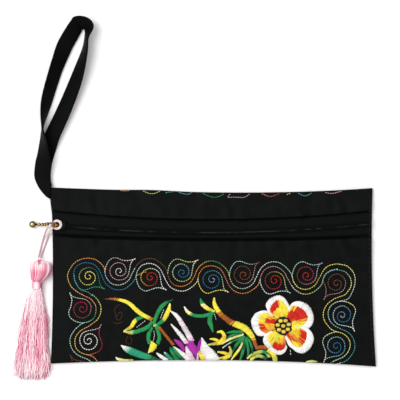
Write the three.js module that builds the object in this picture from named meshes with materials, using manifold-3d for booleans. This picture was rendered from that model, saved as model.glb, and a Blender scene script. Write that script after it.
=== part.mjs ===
// Embroidered cloth wristlet lying face up: a flat zipped pouch with a wrist strap sewn into
// its left seam, a bead-chain puller and a tassel looped round the zip slider.
// Millimetres. +Z is up, the flat back of the pouch lies on z = 0, and the origin is the
// middle of that back. +X runs along the zip and +Y towards the top fold.

import * as THREE from 'three';
import Module from 'manifold-3d';

const wasm = await Module();
wasm.setup();

// Pouch outline: the edges bow as polynomials of t = x / HALF_SPAN and the sides bow outwards
// from their waist
const HALF_SPAN = 100;
const TOP_EDGE = { middle: 52.3, tilt: -1.15, bow: 2.9, skew: 1.0 };
const BOTTOM_EDGE = { middle: -52.45, tilt: -0.6, bow: -3.1, skew: -0.35 };
const LEFT_SIDE = { x: -99.8, waist: 2, bow: -0.0004 };
const RIGHT_SIDE = { x: 99.6, waist: 14, bow: 0.00045 };

// Pouch thickness: folded edge, filling of the middle and the bulk of the zip
const WALL = 1.3;
const EDGE_THICK = 3.2;
const FILLING = 5.2;
const PILLOW_POWER = 2.6;
const ZIP_BULK = 1.7;
const ZIP_BULK_SPREAD = 13;
const SIDE_SEAM = { inset: 0.9, squeeze: 0.6 };
const FOLD_INSET = 1.5;

// Zip: its line, the mouth between the lips, the tapes tucked under them and the coil
const ZIP_LINE = { middle: 28.1, bow: 4.5 };
const MOUTH_HALF = { middle: 7.1, bow: 0.8 };
const MOUTH = { from: -98.3, to: 97.1 };
const TAPE = { from: -98.1, to: 96.9, thick: 0.8, tuck: 3, split: 1.15 };
const COIL = { from: -94.6, to: 96.4, wide: 2.6, high: 1, shoulder: 0.4, crest: 0.55 };
const GAP = 0.3;

// Slider, measured from the top of the tapes at its middle; nose and tail are shares of its width
const SLIDER = { x: -94.5, long: 6.6, wide: 5.4, plate: 0.8, post: 0.8, postX: -2.0, nose: 0.62, tail: 0.9 };
const SLIDER_FLANGE = { inner: 1.75, outer: 2.6, from: -0.4, to: 2.9 };
const CROWN = { x: -2.0, long: 2.2, wide: 0.7, high: 2.6, leg: 0.5, bar: 0.55 };
const FUSED = 0.1;

// Puller: an oval wire link through the crown, a sagging bead chain and a ball
const LINK = { x: -98.13, z: 7.45, halfLong: 1.3, halfWide: 1.1, wire: 0.26 };
const CHAIN = { y: 32.3, bead: 0.65, rod: 0.28, pitch: 1.6, sag: 0.62 };
const BALL = { x: -112.4, radius: 1.95, collar: 0.6, neck: 0.8, poleAngle: 174, collarAngle: 20 };

// Strap: one row for each bend of the strip, from the upper end at the seam round the loop
// to the lower end. Heading turns in plan, roll tips the strip about its length (0 flat,
// 90 on edge) and lift is the height of its lowest edge.
const STRAP_THICK = 1.4;
const STRAP_EASE = 0.35;
const STRAP_COLUMNS = ['x', 'y', 'heading', 'roll', 'lift', 'wide'];
const STRAP_ROWS = [
  [-101.35, 52.2, 180, 180, 2.1, 8.1],
  [-102.9, 53.9, 138, 180, 2.1, 7.5],
  [-105.0, 57.6, 110, 180, 2.1, 8.6],
  [-106.3, 62.5, 93, 178, 2.1, 10],
  [-105.9, 69.7, 88, 165, 2.0, 10],
  [-105.5, 76.3, 89, 137, 1.8, 10],
  [-105.5, 85.0, 90, 115, 1.0, 10],
  [-105.9, 93.8, 90, 90, 0.3, 10],
  [-103.5, 108.8, 77, 54, 0.3, 10],
  [-98.7, 125.9, 71, 43, 0.3, 10],
  [-95.4, 135.0, 68, 34, 0.3, 10],
  [-91.6, 143.8, 65, 16, 0.3, 10],
  [-87.7, 150.8, 59, 24, 0.3, 10],
  [-83.5, 158.9, 40, 56, 0.3, 10],
  [-80.0, 158.8, -38, 130, 0.3, 10],
  [-78.3, 153.8, -80, 135, 0.3, 10],
  [-78.6, 148.5, -97, 105, 0.3, 10],
  [-80.2, 139.4, -101, 67, 0.3, 10],
  [-85.5, 122.5, -111, 44, 0.3, 10],
  [-92.7, 104.4, -113, 33, 0.3, 10],
  [-99.8, 88.1, -110, 15, 0.3, 10],
  [-102.7, 80.0, -108, 2, 0.3, 10],
  [-105.2, 71.3, -102, 0, 0.3, 10],
  [-106.2, 63.1, -88, 0, 0.3, 10],
  [-105.0, 57.6, -70, 0, 0.3, 8.6],
  [-102.9, 53.9, -42, 0, 0.3, 7.5],
  [-101.35, 52.2, 0, 0, 0.3, 8.1],
];

// Tassel cord: up the left strand, nearly two turns round the crown, down the right strand
const CORD_RADIUS = 0.45;
const CORD_LEFT_STRAND = [
  [-108.7, 11.4, 2.6], [-108.1, 14.6, 1.2], [-107.4, 17.6, 0.55], [-106.5, 21.0, 0.55],
  [-105.5, 24.4, 1.2], [-104.4, 27.3, 3.0], [-103.1, 29.6, 5.2], [-101.7, 31.4, 7.4], [-100.5, 32.6, 8.2],
];
const CORD_RIGHT_STRAND = [
  [-100.5, 29.3, 5.6], [-101.6, 27.8, 4.0], [-102.6, 25.6, 1.9], [-103.5, 22.8, 0.7],
  [-104.5, 19.8, 0.55], [-105.6, 16.8, 0.55], [-106.7, 13.8, 1.3], [-107.3, 11.4, 2.6],
];
const CROWN_AXIS = { x: -96.85, y: 32.35 };
const CORD_TURN_COLUMNS = ['angle', 'radius', 'height'];
const CORD_TURN_ROWS = [
  [160, 2.5, 8.4],
  [105, 2.1, 8.2],
  [50, 2.06, 7.7],
  [-5, 2.06, 7.15],
  [-60, 2.06, 6.8],
  [-115, 2.1, 6.6],
  [-165, 2.25, 6.42],
  [-205, 2.6, 6.4],
  [-255, 2.9, 6.5],
  [-310, 2.98, 6.7],
  [-360, 2.98, 6.8],
  [-415, 2.98, 6.75],
  [-465, 3.0, 6.6],
  [-500, 3.1, 6.4],
];

// Tassel: sections of the head down its length, then the edges of the skirt
const TASSEL_KNOT = { x: -108, y: 9.7, z: 3.0, radius: 1.3, poleAngle: 20 };
const HEAD_COLUMNS = ['y', 'x', 'half', 'middle', 'rise'];
const HEAD_ROWS = [
  [9.5, -107.9, 1.2, 3.0, 0.9],
  [8.9, -107.8, 4.4, 3.4, 2.4],
  [7.4, -107.8, 5.9, 3.8, 3.4],
  [4.4, -107.8, 6.0, 4.2, 4.0],
  [0.8, -107.9, 5.4, 4.1, 3.9],
  [-2.6, -108.9, 4.1, 3.7, 3.3],
  [-4.3, -109.5, 2.3, 3.2, 1.9],
  [-8.4, -109.8, 2.3, 3.2, 1.9],
  [-12.0, -110.6, 3.6, 2.9, 2.2],
  [-17.0, -111.3, 3.4, 2.6, 1.8],
];
const BINDING = {
  from: -4.9, to: -8.0, x: -109.7, z: 3.2, halfIn: 2.65, riseIn: 2.25, wound: 0.75, shoulder: 0.72 };
const SKIRT_COLUMNS = ['y', 'left', 'right'];
const SKIRT_ROWS = [
  [-9.0, -112.4, -107.1],
  [-13.0, -115.4, -106.0],
  [-20.0, -117.6, -104.8],
  [-27.5, -119.6, -103.9],
  [-35.0, -121.3, -103.3],
  [-45.0, -123.0, -102.6],
  [-55.0, -124.6, -102.0],
  [-65.0, -125.6, -101.6],
];
const LOCK_LAYERS = [
  { count: 8, middle: 1.55, rise: 1.35, shorten: 0 },
  { count: 7, middle: 3.2, rise: 1.25, shorten: 2.5 },
];
const LOCK = {
  root: 1.0, half: 2.05, tip: 0.7, tipRise: 0.5, rootZ: 3.1, swell: 0.35, ragged: 1.6, stagger: 2.4 };
const LOCK_STATIONS = [0, 0.14, 0.35, 0.62, 0.9, 1];

// How finely each form is divided along its length and round its section
const STEPS = {
  pouchAlong: 22, pouchUp: 14, tapeAlong: 18, tapeAcross: 3, coil: 24, link: 16, bead: 4, ball: 9, knot: 4,
  binding: 4, strapRow: 3, cord: 80 };
const SIDES = { post: 8, wire: 6, bead: 10, ball: 12, cord: 8, knot: 8, head: 14, binding: 14, lock: 6 };

const COLOUR = {
  cloth: 0x171918, tape: 0x121313, coil: 0x0e0f10, slider: 0x0c0c0d, brass: 0xb79a4e, cord: 0xe7bcc6,
  tassel: 0xd9467c, binding: 0xe58aa8 };

const lerp = THREE.MathUtils.lerp;
const radians = THREE.MathUtils.degToRad;
const vec = (x, y, z) => new THREE.Vector3(x, y, z);

function finish(colour, roughness, metalness = 0) {
  return new THREE.MeshStandardMaterial({ color: colour, roughness, metalness });
}

// Edge of the pouch: middle height, tilt, bow at both ends and skew from left to right
function edgeY(edge, x) {
  const t = x / HALF_SPAN;
  return edge.middle + (edge.tilt ?? 0) * t + edge.bow * t ** 2 + (edge.skew ?? 0) * t ** 3;
}

const sideX = (side, y) => side.x + side.bow * (y - side.waist) ** 2;
const pillow = (share) => 1 - Math.abs(2 * share - 1) ** PILLOW_POWER;

// Height of the front cloth: the edge, a pillow over both spans and a ridge along the zip
function frontHeight(x, y) {
  const left = sideX(LEFT_SIDE, y);
  const bottom = edgeY(BOTTOM_EDGE, x);
  const across = THREE.MathUtils.clamp((x - left) / (sideX(RIGHT_SIDE, y) - left), 0, 1);
  const up = THREE.MathUtils.clamp((y - bottom) / (edgeY(TOP_EDGE, x) - bottom), 0, 1);
  const offZip = (y - edgeY(ZIP_LINE, x)) / ZIP_BULK_SPREAD;
  return EDGE_THICK + FILLING * pillow(across) * pillow(up) + ZIP_BULK * Math.exp(-(offZip ** 2));
}

const tapeTop = (x, y) => frontHeight(x, y) - WALL - GAP;
const mouthHalf = (x) => edgeY(MOUTH_HALF, x);

// Values from a to b, evenly spaced or crowded towards both ends
function spread(a, b, count, crowded = false) {
  return Array.from({ length: count + 1 }, (_, i) => {
    const share = i / count;
    return lerp(a, b, crowded ? 0.5 - 0.5 * Math.cos(Math.PI * share) : share);
  });
}

// Closed solid skinned over equal rings of points, each end filled by a fan from its middle
function loft(rings) {
  const sides = rings[0].length;
  const points = rings.flat();
  const faces = [];
  for (let r = 0; r + 1 < rings.length; r++) {
    for (let s = 0; s < sides; s++) {
      const a = r * sides + s;
      const b = r * sides + (s + 1) % sides;
      faces.push(a, b, a + sides, b, b + sides, a + sides);
    }
  }
  const fill = (first, turned) => {
    const middle = vec(0, 0, 0);
    for (let s = 0; s < sides; s++) middle.addScaledVector(points[first + s], 1 / sides);
    const hub = points.push(middle) - 1;
    for (let s = 0; s < sides; s++) {
      const pair = [first + s, first + (s + 1) % sides];
      faces.push(...(turned ? pair.reverse() : pair), hub);
    }
  };
  fill(0, true);
  fill((rings.length - 1) * sides, false);
  return facingOut(new THREE.BufferGeometry().setFromPoints(points).setIndex(faces));
}

// Turn every face round if the enclosed volume comes out negative
function facingOut(geometry) {
  const place = geometry.attributes.position;
  const faces = geometry.index.array;
  const corner = [vec(0, 0, 0), vec(0, 0, 0), vec(0, 0, 0)];
  let volume = 0;
  for (let f = 0; f < faces.length; f += 3) {
    corner.forEach((c, k) => c.fromBufferAttribute(place, faces[f + k]));
    volume += corner[0].dot(corner[1].clone().cross(corner[2]));
  }
  if (volume < 0) {
    for (let f = 0; f < faces.length; f += 3) [faces[f], faces[f + 1]] = [faces[f + 1], faces[f]];
  }
  return geometry;
}

// Ring of points round an ellipse that stands across the direction from side to rise
function oval(middle, side, rise, sides) {
  return Array.from({ length: sides }, (_, i) => {
    const angle = 2 * Math.PI * (i + 0.5) / sides;
    return middle.clone().addScaledVector(side, Math.cos(angle)).addScaledVector(rise, Math.sin(angle));
  });
}

function solid(geometry) {
  return new wasm.Manifold(new wasm.Mesh({
    numProp: 3,
    vertProperties: new Float32Array(geometry.attributes.position.array),
    triVerts: new Uint32Array(geometry.index.array),
  }));
}

function geometryOf(manifold) {
  const mesh = manifold.getMesh();
  const geometry = new THREE.BufferGeometry();
  geometry.setAttribute('position', new THREE.BufferAttribute(mesh.vertProperties, mesh.numProp));
  return geometry.setIndex(new THREE.BufferAttribute(mesh.triVerts, 1));
}

const joined = (geometries) => geometryOf(geometries.map(solid).reduce((a, b) => a.add(b)));

// Box between two corners, as a loft of two rectangles
function block(low, high) {
  return loft([low[0], high[0]].map((x) => [
    vec(x, low[1], low[2]), vec(x, high[1], low[2]), vec(x, high[1], high[2]), vec(x, low[1], high[2]),
  ]));
}

// Row of a table under the names of its columns
const named = (columns, row) => Object.fromEntries(columns.map((name, c) => [name, row[c]]));

// The same at any place between two rows, smoothly filled in (Catmull-Rom)
function smoothRow(columns, rows, place) {
  const i = Math.min(Math.floor(place), rows.length - 2);
  const t = place - i;
  const near = [i - 1, i, i + 1, i + 2].map((k) => rows[THREE.MathUtils.clamp(k, 0, rows.length - 1)]);
  return named(columns, columns.map((_, c) => {
    const [p0, p1, p2, p3] = near.map((row) => row[c]);
    const bend = 2 * p0 - 5 * p1 + 4 * p2 - p3;
    const twist = 3 * (p1 - p2) + p3 - p0;
    return p1 + 0.5 * t * (p2 - p0 + t * (bend + t * twist));
  }));
}

// Section of the pouch at a share of its width: flat back, two round folds, pillowed front
function pouchSection(share) {
  const atSide = share === 0 || share === 1;
  const x = lerp(LEFT_SIDE.x, RIGHT_SIDE.x, share);
  const inset = atSide ? SIDE_SEAM.inset : 0;
  const top = edgeY(TOP_EDGE, x) - inset;
  const bottom = edgeY(BOTTOM_EDGE, x) + inset;
  const fold = EDGE_THICK / 2;
  const foldArc = [-90, -45, 0, 45].map(radians);
  const profile = [
    ...foldArc.map((a) => [top - fold + fold * Math.cos(a), fold + fold * Math.sin(a)]),
    ...spread(top - fold, bottom + fold, STEPS.pouchUp).map((y) => [y, frontHeight(x, y)]),
    ...foldArc.toReversed().map((a) => [bottom + fold - fold * Math.cos(a), fold + fold * Math.sin(a)]),
  ];
  const squeeze = atSide ? SIDE_SEAM.squeeze : 1;
  return profile.map(([y, z]) => vec(
    lerp(sideX(LEFT_SIDE, y), sideX(RIGHT_SIDE, y), share), y, lerp(fold, z, squeeze)));
}

// Hollow of the pouch at a distance along it, one wall inside the cloth
function hollowSection(x) {
  const ys = spread(edgeY(BOTTOM_EDGE, x) + FOLD_INSET, edgeY(TOP_EDGE, x) - FOLD_INSET, STEPS.pouchUp);
  const place = (y, z) => {
    const left = sideX(LEFT_SIDE, y) + WALL;
    const right = sideX(RIGHT_SIDE, y) - WALL;
    const share = (x - LEFT_SIDE.x) / (RIGHT_SIDE.x - LEFT_SIDE.x);
    return vec(lerp(left, right, share), y, z);
  };
  return [
    ...[ys[0], ys.at(-1)].map((y) => place(y, WALL)),
    ...ys.toReversed().map((y) => place(y, frontHeight(place(y, 0).x, y) - WALL)),
  ];
}

// Cutter that opens the front cloth between the two lips of the zip
function mouthSection(x) {
  const low = edgeY(ZIP_LINE, x) - mouthHalf(x);
  const high = edgeY(ZIP_LINE, x) + mouthHalf(x);
  const roof = frontHeight(x, low) + frontHeight(x, high);
  const floor = [vec(x, low, tapeTop(x, low)), vec(x, high, tapeTop(x, high))];
  return [...floor, vec(x, high, roof), vec(x, low, roof)];
}

function pouchBody() {
  const along = STEPS.pouchAlong;
  const outer = spread(0, 1, along, true).map(pouchSection);
  const hollow = spread(LEFT_SIDE.x, RIGHT_SIDE.x, along, true).map(hollowSection);
  const mouth = spread(MOUTH.from, MOUTH.to, along, true).map(mouthSection);
  return geometryOf(solid(loft(outer)).subtract(solid(loft(hollow))).subtract(solid(loft(mouth))));
}

// One zip tape, from beside the coil to under its lip; side is 1 above the coil and -1 below
function zipTape(side) {
  return loft(spread(TAPE.from, TAPE.to, STEPS.tapeAlong, true).map((x) => {
    const outer = mouthHalf(x) + TAPE.tuck;
    const ys = spread(TAPE.split, outer, STEPS.tapeAcross).map((off) => edgeY(ZIP_LINE, x) + side * off);
    const face = ys.map((y) => vec(x, y, tapeTop(x, y)));
    const back = ys.toReversed().map((y) => vec(x, y, tapeTop(x, y) - TAPE.thick));
    return [...face, ...back];
  }));
}

// Closed coil: a low rounded ridge that lies on the inner edges of the tapes
function zipCoil() {
  const half = COIL.wide / 2;
  const shoulder = COIL.high * COIL.shoulder;
  const crest = half * COIL.crest;
  const profile = [
    [-half, 0], [half, 0], [half, shoulder], [crest, COIL.high], [-crest, COIL.high], [-half, shoulder],
  ];
  return loft(spread(COIL.from, COIL.to, STEPS.coil, true).map((x) => {
    const y = edgeY(ZIP_LINE, x);
    return profile.map(([off, up]) => vec(x, y + off, tapeTop(x, y) + GAP + up));
  }));
}

// Slider: two plates round the tapes, a post between them, two flanges and the crown
function zipSlider() {
  const half = SLIDER.long / 2;
  const wide = SLIDER.wide / 2;
  const topPlate = GAP + COIL.high + GAP;
  const crownBase = topPlate + SLIDER.plate;
  const bottomPlate = -TAPE.thick - GAP;
  const nose = wide * SLIDER.nose;
  const tail = wide * SLIDER.tail;
  const plate = (z) => loft([z, z + SLIDER.plate].map((level) => [
    vec(-half, -nose, level), vec(0, -wide, level), vec(half, -tail, level),
    vec(half, tail, level), vec(0, wide, level), vec(-half, nose, level),
  ]));
  const post = loft([bottomPlate - FUSED, topPlate + FUSED].map((z) => oval(
    vec(SLIDER.postX, 0, z), vec(SLIDER.post, 0, 0), vec(0, SLIDER.post, 0), SIDES.post)));
  const flange = SLIDER_FLANGE;
  const flanges = [[-flange.outer, -flange.inner], [flange.inner, flange.outer]].map(([low, high]) => (
    block([flange.from, low, GAP], [flange.to, high, topPlate + FUSED])));
  const back = CROWN.x - CROWN.long / 2;
  const front = CROWN.x + CROWN.long / 2;
  const side = CROWN.wide / 2;
  const crownTop = crownBase + CROWN.high;
  const crown = [
    block([back, -side, crownBase - FUSED], [back + CROWN.leg, side, crownTop]),
    block([front - CROWN.leg, -side, crownBase - FUSED], [front, side, crownTop]),
    block([back, -side, crownTop - CROWN.bar], [front, side, crownTop]),
  ];
  return joined([plate(topPlate), plate(bottomPlate - SLIDER.plate), post, ...flanges, ...crown]);
}

// Bead chain: an oval link through the crown, then beads and rods along a sagging line
function pullChain() {
  const link = spread(0, 2 * Math.PI, STEPS.link).slice(0, -1).map((angle) => {
    const outward = vec(Math.cos(angle) * LINK.halfWide, Math.sin(angle) * LINK.halfLong, 0).normalize();
    const middle = vec(
      LINK.x + LINK.halfLong * Math.cos(angle), CHAIN.y + LINK.halfWide * Math.sin(angle), LINK.z);
    return oval(middle, outward.multiplyScalar(LINK.wire), vec(0, 0, LINK.wire), SIDES.wire);
  });
  const start = vec(LINK.x - LINK.halfLong, CHAIN.y, LINK.z);
  const end = vec(BALL.x + BALL.radius + BALL.neck + GAP, CHAIN.y, BALL.radius + GAP);
  const sag = vec(lerp(start.x, end.x, 0.5), CHAIN.y, lerp(start.z, end.z, CHAIN.sag));
  const line = new THREE.QuadraticBezierCurve3(start, sag, end);
  const length = line.getLength();
  const beads = Math.floor((length - CHAIN.bead) / CHAIN.pitch);
  const reach = Math.sqrt(CHAIN.bead ** 2 - CHAIN.rod ** 2);
  const sections = [[0, CHAIN.rod]];
  for (let bead = 0; bead < beads; bead++) {
    const middle = length - CHAIN.bead - CHAIN.pitch * (beads - 1 - bead);
    for (const off of spread(-reach, reach, STEPS.bead)) {
      sections.push([middle + off, Math.sqrt(CHAIN.bead ** 2 - off ** 2)]);
    }
  }
  const string = sections.map(([along, radius]) => {
    const share = THREE.MathUtils.clamp(along / length, 0, 1);
    const side = vec(0, radius, 0);
    const rise = line.getTangentAt(share).cross(vec(0, 1, 0)).multiplyScalar(radius);
    return oval(line.getPointAt(share), side, rise, SIDES.bead);
  });
  return joined([closedRing(link), loft(string)]);
}

// Closed loop of sections, the last joined back to the first
function closedRing(rings) {
  const sides = rings[0].length;
  const faces = [];
  rings.forEach((_, r) => {
    const next = (r + 1) % rings.length;
    for (let s = 0; s < sides; s++) {
      const t = (s + 1) % sides;
      faces.push(r * sides + s, r * sides + t, next * sides + s);
      faces.push(r * sides + t, next * sides + t, next * sides + s);
    }
  });
  return facingOut(new THREE.BufferGeometry().setFromPoints(rings.flat()).setIndex(faces));
}

// Ball with a short collar that takes the end of the chain, turned about X
function pullBall() {
  const angles = spread(BALL.poleAngle, BALL.collarAngle, STEPS.ball).map(radians);
  const sections = angles.map((a) => [BALL.radius * Math.cos(a), BALL.radius * Math.sin(a)]);
  sections.push([BALL.radius + BALL.neck, BALL.collar]);
  return loft(sections.map(([along, radius]) => oval(
    vec(BALL.x + along, CHAIN.y, BALL.radius + GAP), vec(0, radius, 0), vec(0, 0, radius), SIDES.ball)));
}

// Strap: a flat strip with eased edges carried along the rows of the table
function wristStrap() {
  const last = STRAP_ROWS.length - 1;
  const ease = STRAP_EASE;
  return loft(spread(0, last, last * STEPS.strapRow).map((place) => {
    const row = smoothRow(STRAP_COLUMNS, STRAP_ROWS, place);
    const turn = radians(row.heading);
    const roll = radians(row.roll);
    const ahead = vec(Math.cos(turn), Math.sin(turn), 0);
    const outward = vec(-Math.sin(turn), Math.cos(turn), 0);
    const across = outward.multiplyScalar(Math.cos(roll)).add(vec(0, 0, Math.sin(roll)));
    const through = ahead.cross(across);
    const half = row.wide / 2;
    const thin = STRAP_THICK / 2;
    const height = row.lift + half * Math.abs(across.z) + thin * Math.abs(through.z);
    const profile = [
      [half, thin - ease], [half - ease, thin], [ease - half, thin], [-half, thin - ease],
      [-half, ease - thin], [ease - half, -thin], [half - ease, -thin], [half, ease - thin],
    ];
    return profile.map(([w, n]) => vec(row.x, row.y, height)
      .addScaledVector(across, w).addScaledVector(through, n));
  }));
}

// Turns of the cord round the crown, worked out from their angle, radius and height
function cordTurns() {
  return CORD_TURN_ROWS.map((row) => {
    const at = named(CORD_TURN_COLUMNS, row);
    const angle = radians(at.angle);
    return vec(
      CROWN_AXIS.x + at.radius * Math.cos(angle), CROWN_AXIS.y + at.radius * Math.sin(angle), at.height);
  });
}

function tasselCord() {
  const strand = (rows) => rows.map((row) => vec(...row));
  const route = [...strand(CORD_LEFT_STRAND), ...cordTurns(), ...strand(CORD_RIGHT_STRAND)];
  const section = new THREE.Shape().setFromPoints(
    spread(0, 2 * Math.PI, SIDES.cord).slice(0, -1).map((a) => new THREE.Vector2(
      CORD_RADIUS * Math.cos(a), CORD_RADIUS * Math.sin(a))));
  return new THREE.ExtrudeGeometry(section, {
    extrudePath: new THREE.CatmullRomCurve3(route, false, 'centripetal'), steps: STEPS.cord });
}

// Left and right edges of the skirt at a height, filled in straight between the rows
function skirtAt(y) {
  const rows = SKIRT_ROWS.map((row) => named(SKIRT_COLUMNS, row));
  const next = Math.max(rows.findIndex((row) => row.y <= y), 1);
  const upper = rows[next - 1];
  const lower = rows[next];
  const t = (y - upper.y) / (lower.y - upper.y);
  return { left: lerp(upper.left, lower.left, t), right: lerp(upper.right, lower.right, t) };
}

// One lock of the skirt: a tapering strip that fans from the neck to its own tip
function lock(layer, index) {
  const f = (index + 0.5) / layer.count;
  const tipY = SKIRT_ROWS.at(-1)[0] + layer.shorten + LOCK.ragged * Math.abs(Math.sin(index * LOCK.stagger));
  const rootY = SKIRT_ROWS[0][0];
  return loft(LOCK_STATIONS.map((s) => {
    const y = lerp(rootY, tipY, s);
    const skirt = skirtAt(y);
    const full = THREE.MathUtils.smoothstep(s, 0, LOCK.swell);
    const half = s === 1 ? LOCK.tip : lerp(LOCK.root, LOCK.half, full);
    const rise = s === 1 ? layer.rise * LOCK.tipRise : lerp(LOCK.root, layer.rise, full);
    const x = lerp(skirt.left + half, skirt.right - half, f);
    const z = lerp(LOCK.rootZ, layer.middle, full);
    return oval(vec(x, y, z), vec(half, 0, 0), vec(0, 0, rise), SIDES.lock);
  }));
}

// Head, neck and knot of the tassel with the locks of the skirt grown from the neck
function tassel() {
  const knot = TASSEL_KNOT;
  const knotAngles = spread(180 - knot.poleAngle, knot.poleAngle, STEPS.knot).map(radians);
  const knotRings = knotAngles.map((a) => oval(
    vec(knot.x, knot.y + knot.radius * Math.cos(a), knot.z),
    vec(knot.radius * Math.sin(a), 0, 0), vec(0, 0, knot.radius * Math.sin(a)), SIDES.knot));
  const head = loft(HEAD_ROWS.map((row) => {
    const at = named(HEAD_COLUMNS, row);
    return oval(vec(at.x, at.y, at.middle), vec(at.half, 0, 0), vec(0, 0, at.rise), SIDES.head);
  }));
  const locks = LOCK_LAYERS.flatMap((layer) => (
    Array.from({ length: layer.count }, (_, index) => lock(layer, index))));
  return joined([loft(knotRings), head, ...locks]);
}

// Wound binding round the neck: an oval ring, bulging between its two ends
function tasselBinding() {
  const rings = spread(BINDING.from, BINDING.to, STEPS.binding).map((y, i) => {
    const swell = Math.sin(Math.PI * i / STEPS.binding);
    return { y, bulge: BINDING.wound * lerp(BINDING.shoulder, 1, swell) };
  });
  const ringAt = (y, extra) => oval(
    vec(BINDING.x, y, BINDING.z),
    vec(BINDING.halfIn + extra, 0, 0), vec(0, 0, BINDING.riseIn + extra), SIDES.binding);
  const outside = rings.map((ring) => ringAt(ring.y, ring.bulge));
  const inside = rings.toReversed().map((ring) => ringAt(ring.y, 0));
  return closedRing([...outside, ...inside]);
}

function piece(name, geometry, material) {
  const mesh = new THREE.Mesh(geometry, material);
  mesh.name = name;
  return mesh;
}

// The slider stands on the tapes and follows the turn and the slope of the zip at its place
const zipPoint = (x) => vec(x, edgeY(ZIP_LINE, x), tapeTop(x, edgeY(ZIP_LINE, x)));
const zipAhead = zipPoint(SLIDER.x + 1).sub(zipPoint(SLIDER.x));
const slider = piece('zip_slider', zipSlider(), finish(COLOUR.slider, 0.3, 0.6));
slider.position.copy(zipPoint(SLIDER.x));
slider.rotation.order = 'ZYX';
slider.rotation.z = Math.atan(zipAhead.y);
slider.rotation.y = -Math.atan(zipAhead.z);

const wristlet = new THREE.Group();
wristlet.add(
  piece('body', pouchBody(), finish(COLOUR.cloth, 0.95)),
  piece('zip_tape_upper', zipTape(1), finish(COLOUR.tape, 0.9)),
  piece('zip_tape_lower', zipTape(-1), finish(COLOUR.tape, 0.9)),
  piece('zip_coil', zipCoil(), finish(COLOUR.coil, 0.4)),
  slider,
  piece('pull_chain', pullChain(), finish(COLOUR.brass, 0.35, 1)),
  piece('pull_ball', pullBall(), finish(COLOUR.brass, 0.3, 1)),
  piece('wrist_strap', wristStrap(), finish(COLOUR.cloth, 0.95)),
  piece('tassel_cord', tasselCord(), finish(COLOUR.cord, 0.8)),
  piece('tassel', tassel(), finish(COLOUR.tassel, 0.8)),
  piece('tassel_binding', tasselBinding(), finish(COLOUR.binding, 0.8)),
);

export default wristlet;
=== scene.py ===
"""Embroidered cloth wristlet lying face up on a white table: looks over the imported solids.

Shape tables are in millimetres in the frame of the solids: +X runs along the zip, +Y towards the
top fold, +Z up from the table. MM turns them into metres when a mesh is made. Stitch charts are in
pixels of the photograph's 400 x 400 frame, counted right and down from its upper left corner, and
chart_to_cloth lays them on the cloth.
"""
from types import SimpleNamespace as Sizes

import bpy
import numpy as np
from bpy.props import FloatProperty, FloatVectorProperty, IntProperty, PointerProperty
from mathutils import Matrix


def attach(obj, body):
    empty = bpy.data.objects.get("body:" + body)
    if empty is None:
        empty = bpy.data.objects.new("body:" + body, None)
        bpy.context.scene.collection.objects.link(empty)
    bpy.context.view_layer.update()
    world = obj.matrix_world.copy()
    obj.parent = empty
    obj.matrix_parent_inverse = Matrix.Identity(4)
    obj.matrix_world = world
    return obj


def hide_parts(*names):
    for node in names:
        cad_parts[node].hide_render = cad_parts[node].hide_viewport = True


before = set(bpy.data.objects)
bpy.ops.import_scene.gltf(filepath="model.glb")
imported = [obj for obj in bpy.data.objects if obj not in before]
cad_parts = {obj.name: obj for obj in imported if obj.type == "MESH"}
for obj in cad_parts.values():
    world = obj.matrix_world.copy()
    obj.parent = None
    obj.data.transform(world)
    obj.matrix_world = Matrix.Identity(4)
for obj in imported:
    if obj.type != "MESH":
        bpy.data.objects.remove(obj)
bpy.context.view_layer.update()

bl_info = {
    "name": "Embroidered Wristlet",
    "version": (1, 0, 0),
    "blender": (4, 5, 0),
    "location": "View3D > Sidebar > Wristlet",
    "description": "Dresses the wristlet's solids in cloth, thread, zip and tassel",
    "category": "Add Mesh",
}

MM = 0.001
BODY = "root"
UP = np.array([0.0, 0.0, 1.0])

# Pouch outline and thickness: the edges follow middle + tilt t + bow t^2 + skew t^3 with
# t = x / HALF_SPAN, the sides bow outwards from their waist
HALF_SPAN = 100.0
TOP_EDGE = (52.3, -1.15, 2.9, 1.0)
BOTTOM_EDGE = (-52.45, -0.6, -3.1, -0.35)
ZIP_LINE = (27.55, 0.4, 5.0, 0.0)
UPPER_LIP = (35.5, 0.0, 5.6, 0.0)
LOWER_LIP = (21.9, -0.3, 2.4, 0.0)
LEFT_SIDE = (-99.8, 2.0, -0.0004)
RIGHT_SIDE = (99.2, 20.0, 0.00045)
EAR = Sizes(reach=0.9, low=36.0, high=50.0)
HUMP = Sizes(x=-37.0, rise=0.7, spread=18.0)
WALL = 1.3
EDGE_THICK = 3.2
FOLD = EDGE_THICK / 2
FILLING = 5.2
PILLOW_POWER = 2.6
ZIP_BULK = 1.7
ZIP_BULK_SPREAD = 13.0
SIDE_ROUND = 2.0
SIDE_CROWD = 0.6
GAP = 0.3
TAPE = Sizes(split=0.9, tuck=2.2, thick=0.6, inset=0.8)
CREASE = {"upper": (1.8, 1.2), "lower": (2.6, 2.4)}

# Puckers of the front cloth: waves (rate, phase, share) along x that drift with y, swell and sink, and
# die away from the lips of the zip, and a slow ripple over all of it
PUCKER_DEPTH = 1.1
PUCKER_REACH = 11.0
PUCKER_WAVES = ((0.24, 0.4, 0.4), (0.43, 1.9, 0.35), (0.72, 4.1, 0.25))
PUCKER_DRIFT = Sizes(slant=0.06, swing=1.3, rate=0.09)
PUCKER_SWELL = Sizes(middle=0.7, swing=0.5, y_rate=0.31, x_rate=0.17)
RIPPLE = Sizes(depth=0.12, x_rate=0.083, x_phase=1.1, y_rate=0.11, y_phase=0.4)

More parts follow.
